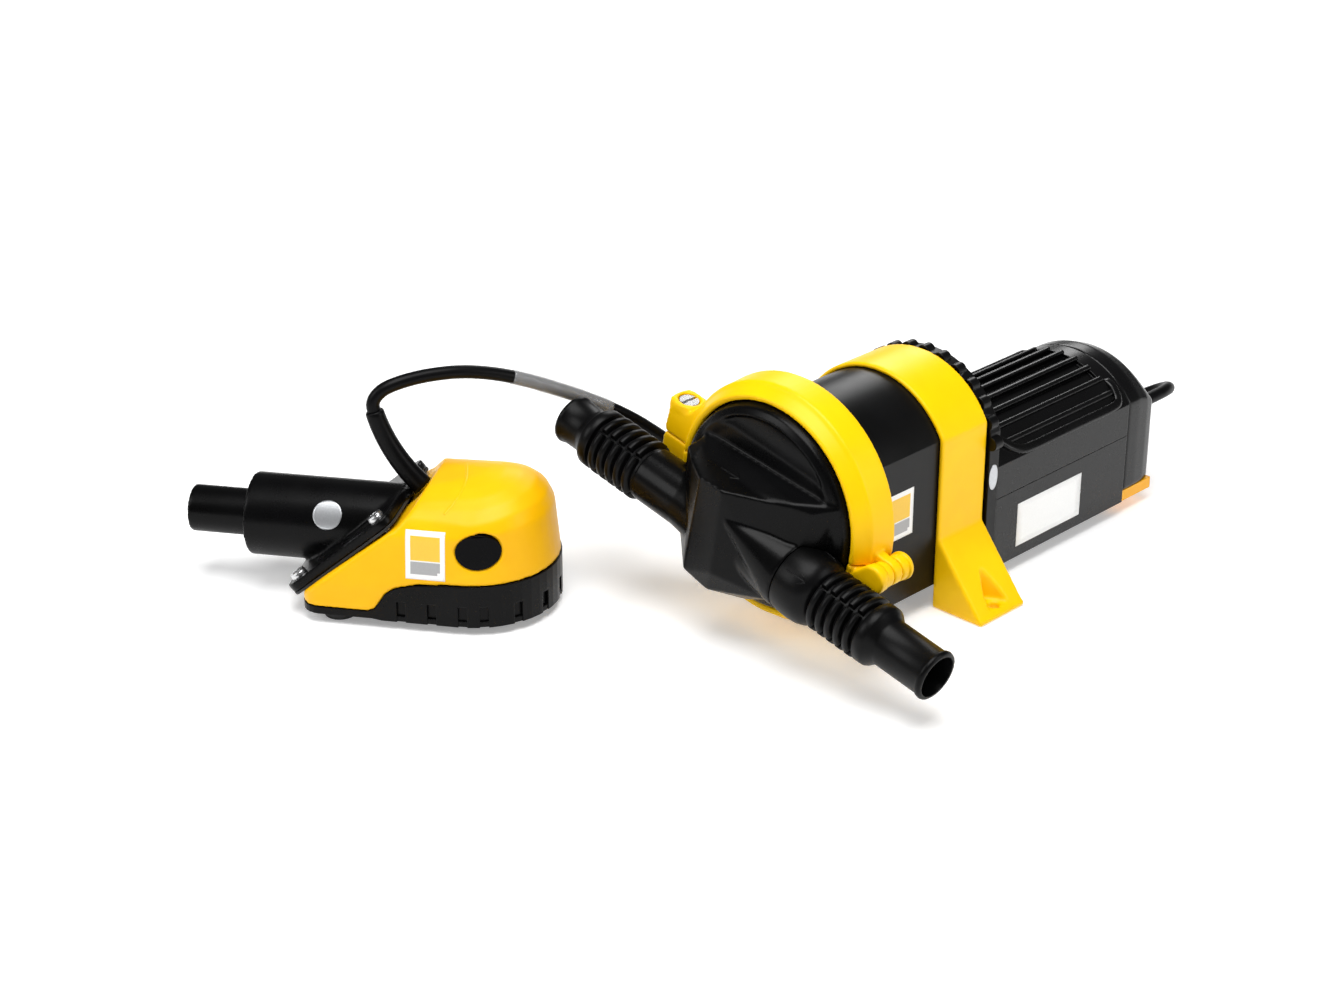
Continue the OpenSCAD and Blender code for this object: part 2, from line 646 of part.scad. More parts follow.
board_y = cap_y0 - 4;
module control_board() color("#1f6b3a") pump_frame() translate([motor_x, board_y, -motor_bottom + house_wall]) {
    half = motor_half_w - house_wall - 0.1;
    translate([-half, 0, 0]) cube([2 * half, 1.6, 38]);
    translate([-half + 6, 1.6, 8]) cube([12, 5, 9]);
    translate([8, 1.6, 12]) cube([9, 3, 14]);
}

module cable_gland() color(rubber) pump_frame() translate([gland_x, cap_y1 - 5, gland_z]) along_y() {
    cylinder(h = 6, r = gland_r - 0.1);
    translate([0, 0, 5]) cylinder(h = 2.5, r = gland_r + 1.6);
    translate([0, 0, 7]) cylinder(h = 12, r1 = gland_r, r2 = lead_d / 2 + 0.8);
}

// ---------- strainer ----------

strainer_pos = [-157, -171.8];
strainer_yaw = 33.9;
module strainer_frame() translate([strainer_pos[0], strainer_pos[1], pad_h]) rotate([0, 0, strainer_yaw]) children();

half_w = strainer_w / 2;
joint_front = 3.6;
joint_mid = 14.6;
joint_end = 18;
base_lift = 0.6;
slope_z0 = 7.1;
steep_x = 39.5;
steep_z = slope_z0 + steep_x * tan(slope_a);
steep_a = 56.6;
cap_wall = 2.5;

// Plan outline: rounded nose corners, semicircular end, shrunk by g
module strainer_plan(g) hull() {
    translate([strainer_len - half_w, 0]) circle(half_w - g, $fn = 48);
    for (s = [-1, 1]) translate([8, s * (half_w - 8)]) circle(max(8 - g, 0.5), $fn = 24);
}

// Joint line between cap and base, from the nose to the round end
joint_line = [[0, joint_front], [28, joint_front], [31, joint_front + 1], [36, 12], [40, joint_mid], [48, 16.6], [60, 17.6],
    [strainer_len, joint_end]];

// Rounded crown: height above the base and inset of each level
crown = [[0, 0], [14, 0], [38, 2.5], [42.5, 5], [46.3, 9.5], [49.6, 15.5], [52, 22.5], [strainer_h - 0.3, 29]];

module crown_solid(g) hull() for (c = crown) translate([0, 0, c[0] - (c[0] > 30 ? g : 0)])
    linear_extrude(0.3) strainer_plan(c[1] + g);

module cap_solid() intersection() {
    crown_solid(0);
    translate([0, 100, 0]) rotate([90, 0, 0]) linear_extrude(200) polygon(concat(joint_line,
        [[strainer_len, 60], [steep_x + (60 - steep_z) / tan(steep_a), 60], [steep_x, steep_z], [0, slope_z0]]));
}

// The cap's inside: the same form, one wall smaller, open below
module cap_inside(g) intersection() {
    translate([0, 0, -1]) crown_solid(g);
    translate([0, 100, 0]) rotate([90, 0, 0]) linear_extrude(200) polygon([
        [g, -5], [strainer_len, -5], [strainer_len, 60], [steep_x + (60 - steep_z) / tan(steep_a) + g / sin(steep_a), 60],
        [steep_x + g, steep_z - g / 2], [g, slope_z0 - g / cos(slope_a) + g * tan(slope_a)]]);
}

// Frame on the sloping face: X up the slope, Z outward
flange_x = 17.4;
module flange_frame() translate([flange_x, 0, slope_z0 + flange_x * tan(slope_a)]) rotate([0, -slope_a, 0]) children();

ear_x = 21.75;
ear_y = 23.5;
gasket_t = 1;
plate_t = 4;
module ears() for (x = [-ear_x, ear_x], y = [-ear_y, ear_y]) translate([x, y]) children();

module flange_outline() hull() ears() circle(6.2, $fn = 32);

// Centre of the sensor window on the near side
window_x = strainer_len - 25.8;
module window_plug(grow) translate([window_x, -half_w + 8, 32]) rotate([90, 0, 0]) scale([1.25, 1, 1])
    cylinder(h = 20, r = 7 + grow, $fn = 32);

// Axis of the lead's boot, leaning forward out of the steep face
boot_root = [41.8, 0, 46.6];
boot_lean = -31.3;
boot_l = 33;
module boot_frame() strainer_frame() translate(boot_root) rotate([0, boot_lean, 0]) children();

module strainer_cap() color(yellow) difference() {
    strainer_frame() difference() {
        cap_solid();
        difference() {
            cap_inside(cap_wall);
            // bosses for the flange screws
            flange_frame() ears() translate([0, 0, -9]) cylinder(h = 12, r = 4, $fn = 24);
        }
        flange_frame() ears() translate([0, 0, -6]) cylinder(h = 20, r = 1.6, $fn = 16);
        translate([-5, 0, spout_h]) along_x() cylinder(h = 45, r = 12.5, $fn = 48);
        window_plug(0.1);
    }
    boot_frame() translate([0, 0, -8]) cylinder(h = 20, r = 4.4, $fn = 24);
}

slot_n = 7;
module strainer_base() color(black) strainer_frame() difference() {
    intersection() {
        translate([0, 0, -1]) linear_extrude(joint_end + 2) strainer_plan(0);
        translate([0, 100, 0]) rotate([90, 0, 0]) linear_extrude(200) polygon(concat(joint_line,
            [[strainer_len, 0], [34, 0], [30, base_lift], [0, base_lift]]));
    }
    // hollow sump under the cap
    translate([0, 0, 2.5]) linear_extrude(40) intersection() {
        strainer_plan(3);
        translate([40, -50]) square([100, 100]);
    }
    // castellated inlet slots
    for (s = [-1, 1]) for (x = [42, 54.5, 67]) translate([x - 1.8, s * half_w - 6, -1]) cube([3.6, 12, 10]);
    translate([strainer_len - half_w, 0, 0]) for (a = [-72:24:72]) rotate([0, 0, a])
        translate([half_w - 6, -1.8, -1]) cube([12, 3.6, 10]);
}

module strainer_pads() color(rubber) strainer_frame() {
    for (s = [-1, 1]) translate([14, s * (half_w - 10), -pad_h]) cylinder(h = pad_h + base_lift, r = 6.5);
    for (s = [-1, 1]) translate([strainer_len - 28, s * (half_w - 16), -pad_h]) cylinder(h = pad_h, r = 6.5);
}

module flange_gasket() color(rubber) strainer_frame() difference() {
    flange_frame() linear_extrude(gasket_t) difference() {
        flange_outline();
        ears() circle(1.7, $fn = 16);
    }
    translate([-5, 0, spout_h]) along_x() cylinder(h = 45, r = 12.5, $fn = 48);
}

spout_x0 = -27.7;
tail_x0 = -53.8;
valve_x = -6;
module valve_housing() color(black) difference() {
    strainer_frame() housing_form();
    boot_frame() translate([0, 0, -8]) cylinder(h = 20, r = 4.6, $fn = 24);
}

module housing_form() difference() {
    union() {
        flange_frame() translate([0, 0, gasket_t]) linear_extrude(plate_t) flange_outline();
        difference() {
            translate([spout_x0, 0, spout_h]) along_x() cylinder(h = 70, r = spout_r);
            flange_frame() translate([-60, -60, gasket_t - 100]) cube([120, 120, 100]);
        }
        translate([tail_x0, 0, spout_h]) along_x() cylinder(h = 30, r = tail_r);
    }
    flange_frame() ears() cylinder(h = 20, r = 1.7, $fn = 16);
    translate([tail_x0 - 1, 0, spout_h]) along_x() cylinder(h = 40, r = tail_bore_r - 1);
    translate([spout_x0 + 3, 0, spout_h]) along_x() cylinder(h = valve_x - spout_x0 - 3, r = 14);
    translate([valve_x - 1, 0, spout_h]) along_x() cylinder(h = 20, r = 8);
    translate([valve_x + 2, 0, spout_h]) along_x() cylinder(h = 40, r = 12.5);
}

module flange_screws() color(steel) strainer_frame() flange_frame() ears() translate([0, 0, gasket_t + plate_t]) {
    cylinder(h = 2.2, r = 3.2, $fn = 32);
    translate([0, 0, -gasket_t - plate_t - 2.6]) cylinder(h = gasket_t + plate_t + 3, r = 1.55, $fn = 16);
}

check_r = 9.4;
module check_flap() color(rubber) strainer_frame() translate([valve_x - 0.2 - flap_t, 0, spout_h]) flap_shape(check_r, 11);

module sensor_window() color("#101010") strainer_frame() difference() {
    intersection() {
        cap_solid();
        window_plug(0);
    }
    cap_inside(4);
}

module sensor_board() color("#1f6b3a") strainer_frame() {
    translate([window_x - 13.2, -half_w + 10, 20]) cube([17, 1.6, 17]);
    translate([window_x - 1.2, -half_w + 10.2, 32]) rotate([90, 0, 0]) cylinder(h = 1.6, r = 3.5);
}

module cable_boot() color(black) boot_frame() {
    cylinder(h = boot_l, r1 = 4.3, r2 = 3.7);
    translate([0, 0, -4]) cylinder(h = 5, r = 4.3);
}

// ---------- lead ----------

boot_dir = [sin(boot_lean) * cos(strainer_yaw), sin(boot_lean) * sin(strainer_yaw), cos(boot_lean)];
boot_top = [strainer_pos[0] + boot_root[0] * cos(strainer_yaw), strainer_pos[1] + boot_root[0] * sin(strainer_yaw),
    pad_h + boot_root[2]] + boot_l * boot_dir;
gland_tip = [gland_x, cap_y1 - bracket_mid + 14, axis_h + gland_z];

coil_c = [-86, 68];
coil_pitch = 7;
coil_in = 2.375;
coil_half = 0.5;
coil_rise = 6.2;
coil_rings = 24;
coil_z = lead_d / 2 + 0.1;
coil_t = 2 * coil_in + coil_half;

// Radius and height of the coil after u turns
function coil_rad(u) = u < coil_in ? coil_r - coil_pitch * u : u < coil_in + coil_half ? coil_r - coil_pitch * coil_in
    : coil_r - coil_pitch * (2 * coil_in + coil_half - u);
function coil_up(u) = u < coil_in ? 0 : u < coil_in + coil_half ? (1 - cos(180 * (u - coil_in) / coil_half)) / 2 : 1;
function coil_pt(u) = [coil_c[0] + coil_rad(u) * cos(180 - 360 * u), coil_c[1] + coil_rad(u) * sin(180 - 360 * u),
    coil_z + coil_rise * coil_up(u)];

coil_n = round(coil_t * coil_rings);
coil_start = coil_pt(0) - [0, lead_d, 0];
coil_stop = coil_pt(coil_t) + [lead_d, 0, 0];
coil_path = concat([coil_start], [for (i = [0:coil_n]) coil_pt(coil_t * i / coil_n)], [coil_stop]);

coil_gap = min([for (i = [0:coil_n]) for (j = [i + 14:1:coil_n + 1])
    norm(coil_path[i + 1] - coil_path[j]) - lead_d]);
echo(coil_gap = coil_gap);

// From the boot over the top, down behind the head and along the floor to the coil
lead_path = concat([boot_top, boot_top + 3 * boot_dir], [
    [-136.9, -155.5, 85], [-135, -152.5, 88.4], [-131.7, -146.3, 90.4], [-127, -136, 90.6], [-122, -124, 88],
    [-116.6, -112, 85], [-111.4, -99.5, 81.2], [-106.4, -88, 76], [-101.8, -77, 70], [-97.2, -66.4, 63.5],
    [-93, -56, 56], [-90, -46, 47.5], [-89, -35, 38], [-90, -24, 28.5], [-93.5, -12, 20], [-99, 0, 13],
    [-105.5, 12, 7.8], [-112, 24, 4.6], [-117.5, 36, 3], [-121.5, 48, 2.85]], [coil_start]);

// From the coil round behind the motor and up into the gland
motor_path = concat([coil_stop], [
    [-70, 105.3, 8.2], [-60, 107.5, 6.4], [-51, 112, 4.6], [-44, 119, 3.4], [-39.5, 128, 2.9], [-36, 138, 3],
    [-32, 148, 4.2], [-26.5, 157, 7.2], [-19.5, 165, 12], [-10.5, 171.5, 18], [0, 175.5, 25], [9.5, 174.5, 31],
    [16.5, 169, 35], [19.6, 161, 36.8], [20, 153, 37]], [gland_tip]);

function path_len(p) = [for (i = [1:len(p) - 1]) norm(p[i] - p[i - 1])] * [for (i = [1:len(p) - 1]) 1];
echo(lead_length = path_len(lead_path) + path_len(coil_path) + path_len(motor_path));

module sensor_lead() color(black) tube(lead_path, 8, boot_dir, [0, 1, 0], [1, 0, 0]);
module lead_coil() color(black) tube(coil_path, 6, [0, 1, 0], [1, 0, 0], [1, 0, 0]);
module pump_lead() color(black) tube(motor_path, 8, [1, 0, 0], [0, -1, 0], [0, 1, 0]);

pump_head();
inlet_tail();
outlet_tail();
inlet_flap();
outlet_flap();
diaphragm_rim();
diaphragm();
front_plate();
back_plate();
drive_yoke();
clamp_upper();
clamp_lower();
clamp_hinge_pin();
clamp_screw();
clamp_nut();
pump_body();
mounting_bracket();
gearbox_cover();
worm_wheel();
wheel_shaft();
motor_can();
armature();
worm();
front_bearing();
rear_bearing();
motor_housing();
lower_cover();
end_cap();
rear_foot();
control_board();
cable_gland();
strainer_cap();
strainer_base();
strainer_pads();
valve_housing();
flange_gasket();
flange_screws();
check_flap();
sensor_board();
sensor_window();
cable_boot();
sensor_lead();
lead_coil();
pump_lead();
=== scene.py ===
import bpy
import bmesh
import json
from math import sin, cos, pi, radians
from mathutils import Vector, Matrix, noise
from mathutils.bvhtree import BVHTree


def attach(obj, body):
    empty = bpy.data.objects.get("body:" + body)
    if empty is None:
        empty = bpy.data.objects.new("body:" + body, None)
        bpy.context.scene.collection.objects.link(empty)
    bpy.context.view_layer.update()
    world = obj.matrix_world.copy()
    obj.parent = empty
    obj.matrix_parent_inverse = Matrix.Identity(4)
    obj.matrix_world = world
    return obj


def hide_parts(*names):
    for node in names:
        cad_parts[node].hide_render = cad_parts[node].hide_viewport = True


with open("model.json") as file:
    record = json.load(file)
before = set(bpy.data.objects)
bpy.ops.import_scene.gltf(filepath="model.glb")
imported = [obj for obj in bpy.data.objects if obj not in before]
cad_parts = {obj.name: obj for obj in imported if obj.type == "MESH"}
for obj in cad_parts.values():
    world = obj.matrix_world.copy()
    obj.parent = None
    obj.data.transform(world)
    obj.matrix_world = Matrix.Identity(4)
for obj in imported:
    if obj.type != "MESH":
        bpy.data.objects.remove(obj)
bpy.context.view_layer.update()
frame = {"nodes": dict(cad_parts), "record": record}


# ---------- camera ----------
# Three-quarter view from the outlet side, a little above the pump, through a moderately long lens
# that keeps the perspective calm.
lens = bpy.data.cameras.new("camera")
lens.lens = 72.92
lens.sensor_width = 36
lens.sensor_fit = "HORIZONTAL"
lens.clip_start = 0.02
camera = bpy.data.objects.new("camera", lens)
camera.location = (0.63358, -0.77333, 0.50826)
camera.rotation_euler = (radians(64.415), 0, radians(44.645))
bpy.context.scene.collection.objects.link(camera)
bpy.context.scene.camera = camera


# ---------- pump head ----------
# The wet end's cover, one moulding of glass-filled nylon: a round face with a faceted valve chest, an
# inlet neck on one side and the outlet's socket, with its gusset, on the other. The clamp ring holds
# it against the body's flange.
def colour(code):
    parts = [int(code[i:i + 2], 16) / 255 for i in (1, 3, 5)]
    return tuple(c / 12.92 if c <= 0.04045 else ((c + 0.055) / 1.055) ** 2.4 for c in parts) + (1,)


def add(material, kind, links=(), **values):
    made = material.node_tree.nodes.new(kind)
    for key, value in values.items():
        if hasattr(made, key):
            setattr(made, key, value)
        else:
            made.inputs[key.replace("_", " ")].default_value = value
    for socket, source in dict(links).items():
        material.node_tree.links.new(source, made.inputs[socket])
    return made


def start(name):
    material = bpy.data.materials.new(name)
    material.use_nodes = True
    material.node_tree.nodes.clear()
    return material, add(material, "ShaderNodeTexCoord").outputs["Object"]


def finish(material, surface, normal=None):
    if normal is not None:
        material.node_tree.links.new(normal, surface.inputs["Normal"])
    add(material, "ShaderNodeOutputMaterial", {"Surface": surface.outputs[0]})
    return material


def moulded_plastic(name, low, high, rough, grain_mm, depth_mm, edge_mm=0.5, ior=1.5, gloss=0.5, sheen=0.0):
    material, place = start(name)
    # a faint, slow change of tone, as pigment and handling leave on moulded parts
    cloud = add(material, "ShaderNodeTexNoise", {"Vector": place}, Scale=38.0, Detail=4.0)
    tone = add(material, "ShaderNodeValToRGB", {"Fac": cloud.outputs["Fac"]})
    for stop, position, code in zip(tone.color_ramp.elements, (0.35, 0.65), (low, high)):
        stop.position, stop.color = position, colour(code)
    smudge = add(material, "ShaderNodeTexNoise", {"Vector": place}, Scale=90.0, Detail=5.0, Roughness=0.6)
    matt = add(material, "ShaderNodeMapRange", {"Value": smudge.outputs["Fac"]},
               To_Min=rough - 0.05, To_Max=rough + 0.07)
    # spark-eroded tool grain, drawn as coarse as it needs to show
    grain = add(material, "ShaderNodeTexNoise", {"Vector": place}, Scale=1000 / grain_mm, Detail=2.0)
    edge = add(material, "ShaderNodeBevel", samples=6, Radius=edge_mm / 1000)
    bump = add(material, "ShaderNodeBump", {"Height": grain.outputs["Fac"], "Normal": edge.outputs["Normal"]},
               Strength=1.0, Distance=depth_mm / 1000)
    body = add(material, "ShaderNodeBsdfPrincipled",
               {"Base Color": tone.outputs["Color"], "Roughness": matt.outputs["Result"]},
               IOR=ior, Specular_IOR_Level=gloss, Sheen_Weight=sheen)
    return finish(material, body, bump.outputs["Normal"])


def dress(material, *names):
    for name in names:
        frame["nodes"][name].data.materials.clear()
        frame["nodes"][name].data.materials.append(material)


slot_of = {s["node"]: s["material_slot"] for s in frame["record"]["subparts"]}
body_of = {n: b for b, names in frame["record"]["behaviour"]["bodies"].items() for n in names}


def put(name, verts, faces, body, slot, look=None, smooth=True, closed=False):
    mesh = bpy.data.meshes.new(name)
    mesh.from_pydata(verts, [], faces)
    mesh.validate()
    if closed:
        skin = bmesh.new()
        skin.from_mesh(mesh)
        bmesh.ops.recalc_face_normals(skin, faces=skin.faces)
        skin.to_mesh(mesh)
        skin.free()
    if smooth:
        mesh.shade_smooth()
    if look:
        mesh.materials.append(look)
    ob = bpy.data.objects.new(name, mesh)
    bpy.context.scene.collection.objects.link(ob)
    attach(ob, body)
    return ob


def moulding(name, material, voxel_mm, passes, extra=(), shape=None):
    """The node's own solid with a tool's fillets on every edge and in every corner."""
    dress(material, name)
    mesh = frame["nodes"][name].data.copy()
    shell = bmesh.new()
    shell.from_mesh(mesh)
    bmesh.ops.remove_doubles(shell, verts=shell.verts, dist=0.00001)
    if shape:
        for vert in shell.verts:
            vert.co = shape(vert.co)
    for verts, faces in extra:
        made = [shell.verts.new(v) for v in verts]
        if faces:
            for face in faces:
                shell.faces.new([made[i] for i in face])
        else:
            hull = bmesh.ops.convex_hull(shell, input=made)
            inside = [g for g in hull["geom_interior"] if isinstance(g, bmesh.types.BMVert)]
            bmesh.ops.delete(shell, geom=inside, context="VERTS")
    shell.to_mesh(mesh)
    shell.free()
    work = bpy.data.objects.new(name + "_moulding", mesh)
    bpy.context.scene.collection.objects.link(work)
    remesh = work.modifiers.new("remesh", "REMESH")
    remesh.mode = "VOXEL"
    remesh.voxel_size = voxel_mm / 1000
    soften = work.modifiers.new("soften", "SMOOTH")
    soften.factor = 0.5
    soften.iterations = passes
    ready = bpy.data.meshes.new_from_object(work.evaluated_get(bpy.context.evaluated_depsgraph_get()))
    work.modifiers.clear()
    work.data = ready
    ready.materials.clear()
    ready.materials.append(material)
    ready.shade_smooth()
    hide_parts(name)
    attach(work, body_of[name])
    return work


def belt(rows, sides, wrap=False):
    """The quads between closed rows of points, and from the last row back to the first."""
    return [(i * sides + k, i * sides + (k + 1) % sides,
             (i + 1) % rows * sides + (k + 1) % sides, (i + 1) % rows * sides + k)
            for i in range(rows if wrap else rows - 1) for k in range(sides)]


# deep black and satin, with a visible fine grain
nylon_black = moulded_plastic("glass_filled_nylon_black", "#030303", "#070708", rough=0.27, grain_mm=0.9,
                              depth_mm=0.012, edge_mm=0.7, ior=1.53, gloss=0.10)
head_axis = Matrix.Translation((0, -77, 55)) @ Matrix.Rotation(radians(12.8), 4, "Y")
head_axis_back = head_axis.inverted()
port_y, port_z, bore_r, socket_r = -11.3, -10.6, 8.6, 14.3
lip_r, lip_y = 42.2, -1.2
bevel_r, bevel_width, bevel_depth = 46, 2.6, 5.1


def on_head(*p):
    return (head_axis @ Vector(p)) / 1000


def round_port(x, radius, angle):
    """A point of a ring about the ports' axis, kept clear of the clamp's lip and bevel."""
    y, z = port_y - radius * cos(angle), port_z + radius * sin(angle)
    far = (x * x + z * z) ** 0.5
    if far > lip_r:
        y = min(y, lip_y + bevel_depth * min(max((far - bevel_r) / bevel_width, 0), 1))
    return on_head(x, y, z)


cone_x, cone_r, cone_root_r, neck_r = 29, 13.6, 15.5, 11.5


def slim_neck(co):
    """Draws the solid's cone between chest and inlet in to the slim neck."""
    p = head_axis_back @ (co * 1000)
    away = ((p.y - port_y) ** 2 + (p.z - port_z) ** 2) ** 0.5
    along = (p.x + cone_x) / cone_x
    if -0.01 < along < 1 and abs(away - cone_r - (cone_root_r - cone_r) * along) < 0.12:
        k = (neck_r + (cone_root_r - neck_r) * along) / away
        p = Vector((p.x, port_y + (p.y - port_y) * k, port_z + (p.z - port_z) * k))
    return (head_axis @ p) / 1000


# the chest's facets: a flat front that falls back towards the outlet, then its foot on the face
chest = [
    (-14.2, -26.2, 14.9), (-2.5, -26.2, 15.5), (9.9, -18.5, 16.2), (26.8, -10.4, 18.4), (30, -9, 17),
    (-24.5, -20.3, 14.9), (-34, -12.3, 13), (-13.4, -26.2, -28), (-31, -13, -20), (-2.3, -24, -31.6),
    (0.6, -26.8, -20.8), (24.5, -18, -22), (8.6, -12, -34.6),
    (-33, -2, 16), (34, -2, 20), (-33, -1, -20), (-20, -1, -33), (8, -1, -36), (33, -1, -22), (37, -1, 0),
    (-34, -1, 12)]
chest = [on_head(*p) for p in chest]
sides = 40
turn = [2 * pi * k / sides for k in range(sides)]
gusset = [on_head(-2, -25.8, 5.5)]
gusset += [on_head(x, port_y - socket_r * cos(a), port_z + socket_r * sin(a)) for x in (24, 28.3) for a in turn]
neck = [round_port(x, r, a) for x, r in ((-12, bore_r), (-12, neck_r), (-50.5, neck_r), (-50.5, bore_r)) for a in turn]
head = moulding("pump_head", nylon_black, 0.6, 5,
                [(chest, None), (gusset, None), (neck, belt(4, sides, wrap=True))], slim_neck)


def rounded(points, steps):
    """A smooth curve through the points."""
    out = []
    for i in range(len(points) - 1):
        a, b = points[i], points[i + 1]
        before = points[i - 1] if i else a * 2 - b
        after = points[i + 2] if i + 2 < len(points) else b * 2 - a
        for k in range(steps):
            t = k / steps
            out.append(0.5 * (2 * a + (b - before) * t + (2 * before - 5 * a + 4 * b - after) * t * t
                              + (3 * a - before - 3 * b + after) * t * t * t))
    return out + [points[-1]]


def bead(name, points, width_mm, height_mm, carrier, look, slot, toward):
    """A raised line moulded on the surface that carries it."""
    tree = BVHTree.FromObject(carrier, bpy.context.evaluated_depsgraph_get())
    toward = Vector(toward).normalized()
    verts, faces, row, sunk = [], [], 6, 0.08
    points = [Vector(p) for p in points]
    dense = rounded(points, 6) if len(points) > 2 else points
    for i, p in enumerate(dense):
        along = (dense[min(i + 1, len(dense) - 1)] - dense[max(i - 1, 0)]).normalized()
        hit, normal, _, _ = tree.ray_cast(p / 1000 + toward * 0.02, -toward)
        if hit is None:
            hit, normal = p / 1000, toward
        side = along.cross(normal).normalized()
        for k in range(row + 1):
            a = pi * k / row
            verts.append(hit + side * (width_mm / 2000 * cos(a)) + normal * ((height_mm * sin(a) - sunk) / 1000))
        if i:
            new = i * (row + 1)
            old = new - row - 1
            faces += [(old + k, old + k + 1, new + k + 1, new + k) for k in range(row)]
    return put(name, verts, faces, "frame", slot, look)


# a small flow arrow moulded on the chest's upper facet
arrow = ([(-5, 0), (0, 0), (4.6, 0)], [(1.6, 2.2), (3.2, 1.1), (4.6, 0)], [(1.6, -2.2), (3.2, -1.1), (4.6, 0)])
for j, stroke in enumerate(arrow):
    dots = [head_axis @ Vector((-8.5 + x, -15.5 + y, 17)) for x, y in stroke]
    bead(f"head_arrow_{j + 1}", dots, 0.7, 0.3, head, nylon_black, "black_plastic", (0.14, -0.27, 0.95))


# ---------- hose tails ----------
# Two tails of the same nylon with a plain end for one hose size and a ribbed part for the next,
# pushed into the head's sockets. The ribs are moulded in four quarters, with narrow notches between.
nylon_ribs = moulded_plastic("glass_filled_nylon_ribbed", "#040404", "#09090a", rough=0.34, grain_mm=0.9,
                             depth_mm=0.012, edge_mm=0.2, ior=1.53, gloss=0.10)
tail_bore, tail_root, groove, notch_r, shoulder, crest, plain = 8.4, 11, 10.3, 10.5, 12.45, 12.75, 9.6
tail_sides, plug, ribs, quarter, notch_width = 120, 7.4, 5, 30, 2


def hose_tail(name, way, root, reach, rib0, rib1, collar):
    """A lathe outline of (x, radius, whether the notches cut it) turned about the ports' axis."""
    outline = [(root - plug, tail_bore, 0), (root - plug, tail_root, 0), (root, tail_root, 0)]
    outline += [(x, r, 0) for x, r in collar]
    pitch = (rib1 - rib0) / ribs
    for i in range(ribs):
        x = rib0 + pitch * i
        outline += [(x, groove, 0), (x + 0.08 * pitch, shoulder, 1), (x + 0.16 * pitch, crest, 1),
                    (x + 0.52 * pitch, crest, 1), (x + 0.6 * pitch, shoulder, 1), (x + 0.68 * pitch, groove, 0)]
    # the shoulder behind the ribs, the plain end and its rolled lip
    outline += [(rib1, groove, 0), (rib1 + 0.3, 12.2, 0), (rib1 + 0.8, 12.6, 0), (rib1 + 4.2, 12.5, 0),
                (rib1 + 5, 12.1, 0), (rib1 + 7.6, 9.9, 0), (rib1 + 9, plain, 0), (reach - 3.2, plain, 0),
                (reach - 2.4, 10.1, 0), (reach - 1.4, 10.35, 0), (reach - 0.5, 10.1, 0), (reach, 9.4, 0),
                (reach, 8.6, 0), (reach - 0.5, tail_bore, 0)]
    verts = []
    for x, r, rib in outline:
        for k in range(tail_sides):
            notch = rib and (k + 13) % quarter < notch_width
            verts.append(round_port(way * x, notch_r if notch else r, 2 * pi * k / tail_sides))
    faces = belt(len(outline), tail_sides, wrap=True)
    tail = put(name + "_moulding", verts, faces, body_of[name], slot_of[name], nylon_ribs, closed=True)
    tail.data.set_sharp_from_angle(angle=radians(42))
    dress(nylon_black, name)
    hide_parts(name)
    return tail


barrel = [(28.4, 13.4), (28.9, 14.1), (31, 14.5), (36, 14.8), (40, 14.5), (43, 13.5), (44.6, 11.6), (45.4, 10.3)]
outlet = hose_tail("outlet_tail", 1, root=28.4, reach=101.4, rib0=46, rib1=69, collar=barrel)
hose_tail("inlet_tail", -1, root=29, reach=96.6, rib0=52, rib1=76, collar=[(29, 11.2), (51, 11.2), (51.4, 10.3)])
# the flow arrow twice on the outlet's barrel
for j, stroke in enumerate(arrow):
    for lean, mark in ((0.85, "a"), (-0.45, "b")):
        axis = Vector((0, -sin(lean), cos(lean)))
        side = Vector((0, cos(lean), sin(lean)))
        dots = [head_axis @ (Vector((37 + x, port_y, port_z)) + axis * 14.4 + side * y) for x, y in stroke]
        bead(f"outlet_arrow_{mark}{j + 1}", dots, 0.8, 0.35, outlet, nylon_black, "black_plastic",
             head_axis.to_3x3() @ axis)


# ---------- clamp ring ----------
# Two acetal half rings, hinged on a steel pin and drawn together over the flanges of head and body by
# one screw. Strong golden yellow with soft, broad highlights.
acetal_yellow = moulded_plastic("acetal_yellow", "#fac400", "#ffcc00", rough=0.36, grain_mm=0.8, depth_mm=0.005,
                                edge_mm=0.8, ior=1.48, gloss=0.2)
# a low wall round the screw's head, so that it sits in a pocket of the lug
screw_x, screw_y, pocket_r = -55, 9, 4.4
wall_foot, lug_top, wall_top = 9, 12, 15.6
pocket = []
for z, size in ((wall_foot, 0.8), (lug_top, 1), (wall_top, 0.98)):
    for a in turn:
        square = max(abs(cos(a)), abs(sin(a))) ** 0.6
        pocket.append(on_head(screw_x + 6.1 * size * cos(a) / square, screw_y + 6.3 * size * sin(a) / square, z))
for z, r in ((wall_top, pocket_r), (lug_top, pocket_r), (wall_foot, 3)):
    pocket += [on_head(screw_x + r * cos(a), screw_y + r * sin(a), z) for a in turn]
moulding("clamp_upper", acetal_yellow, 0.6, 5, [(pocket, belt(6, sides, wrap=True))])
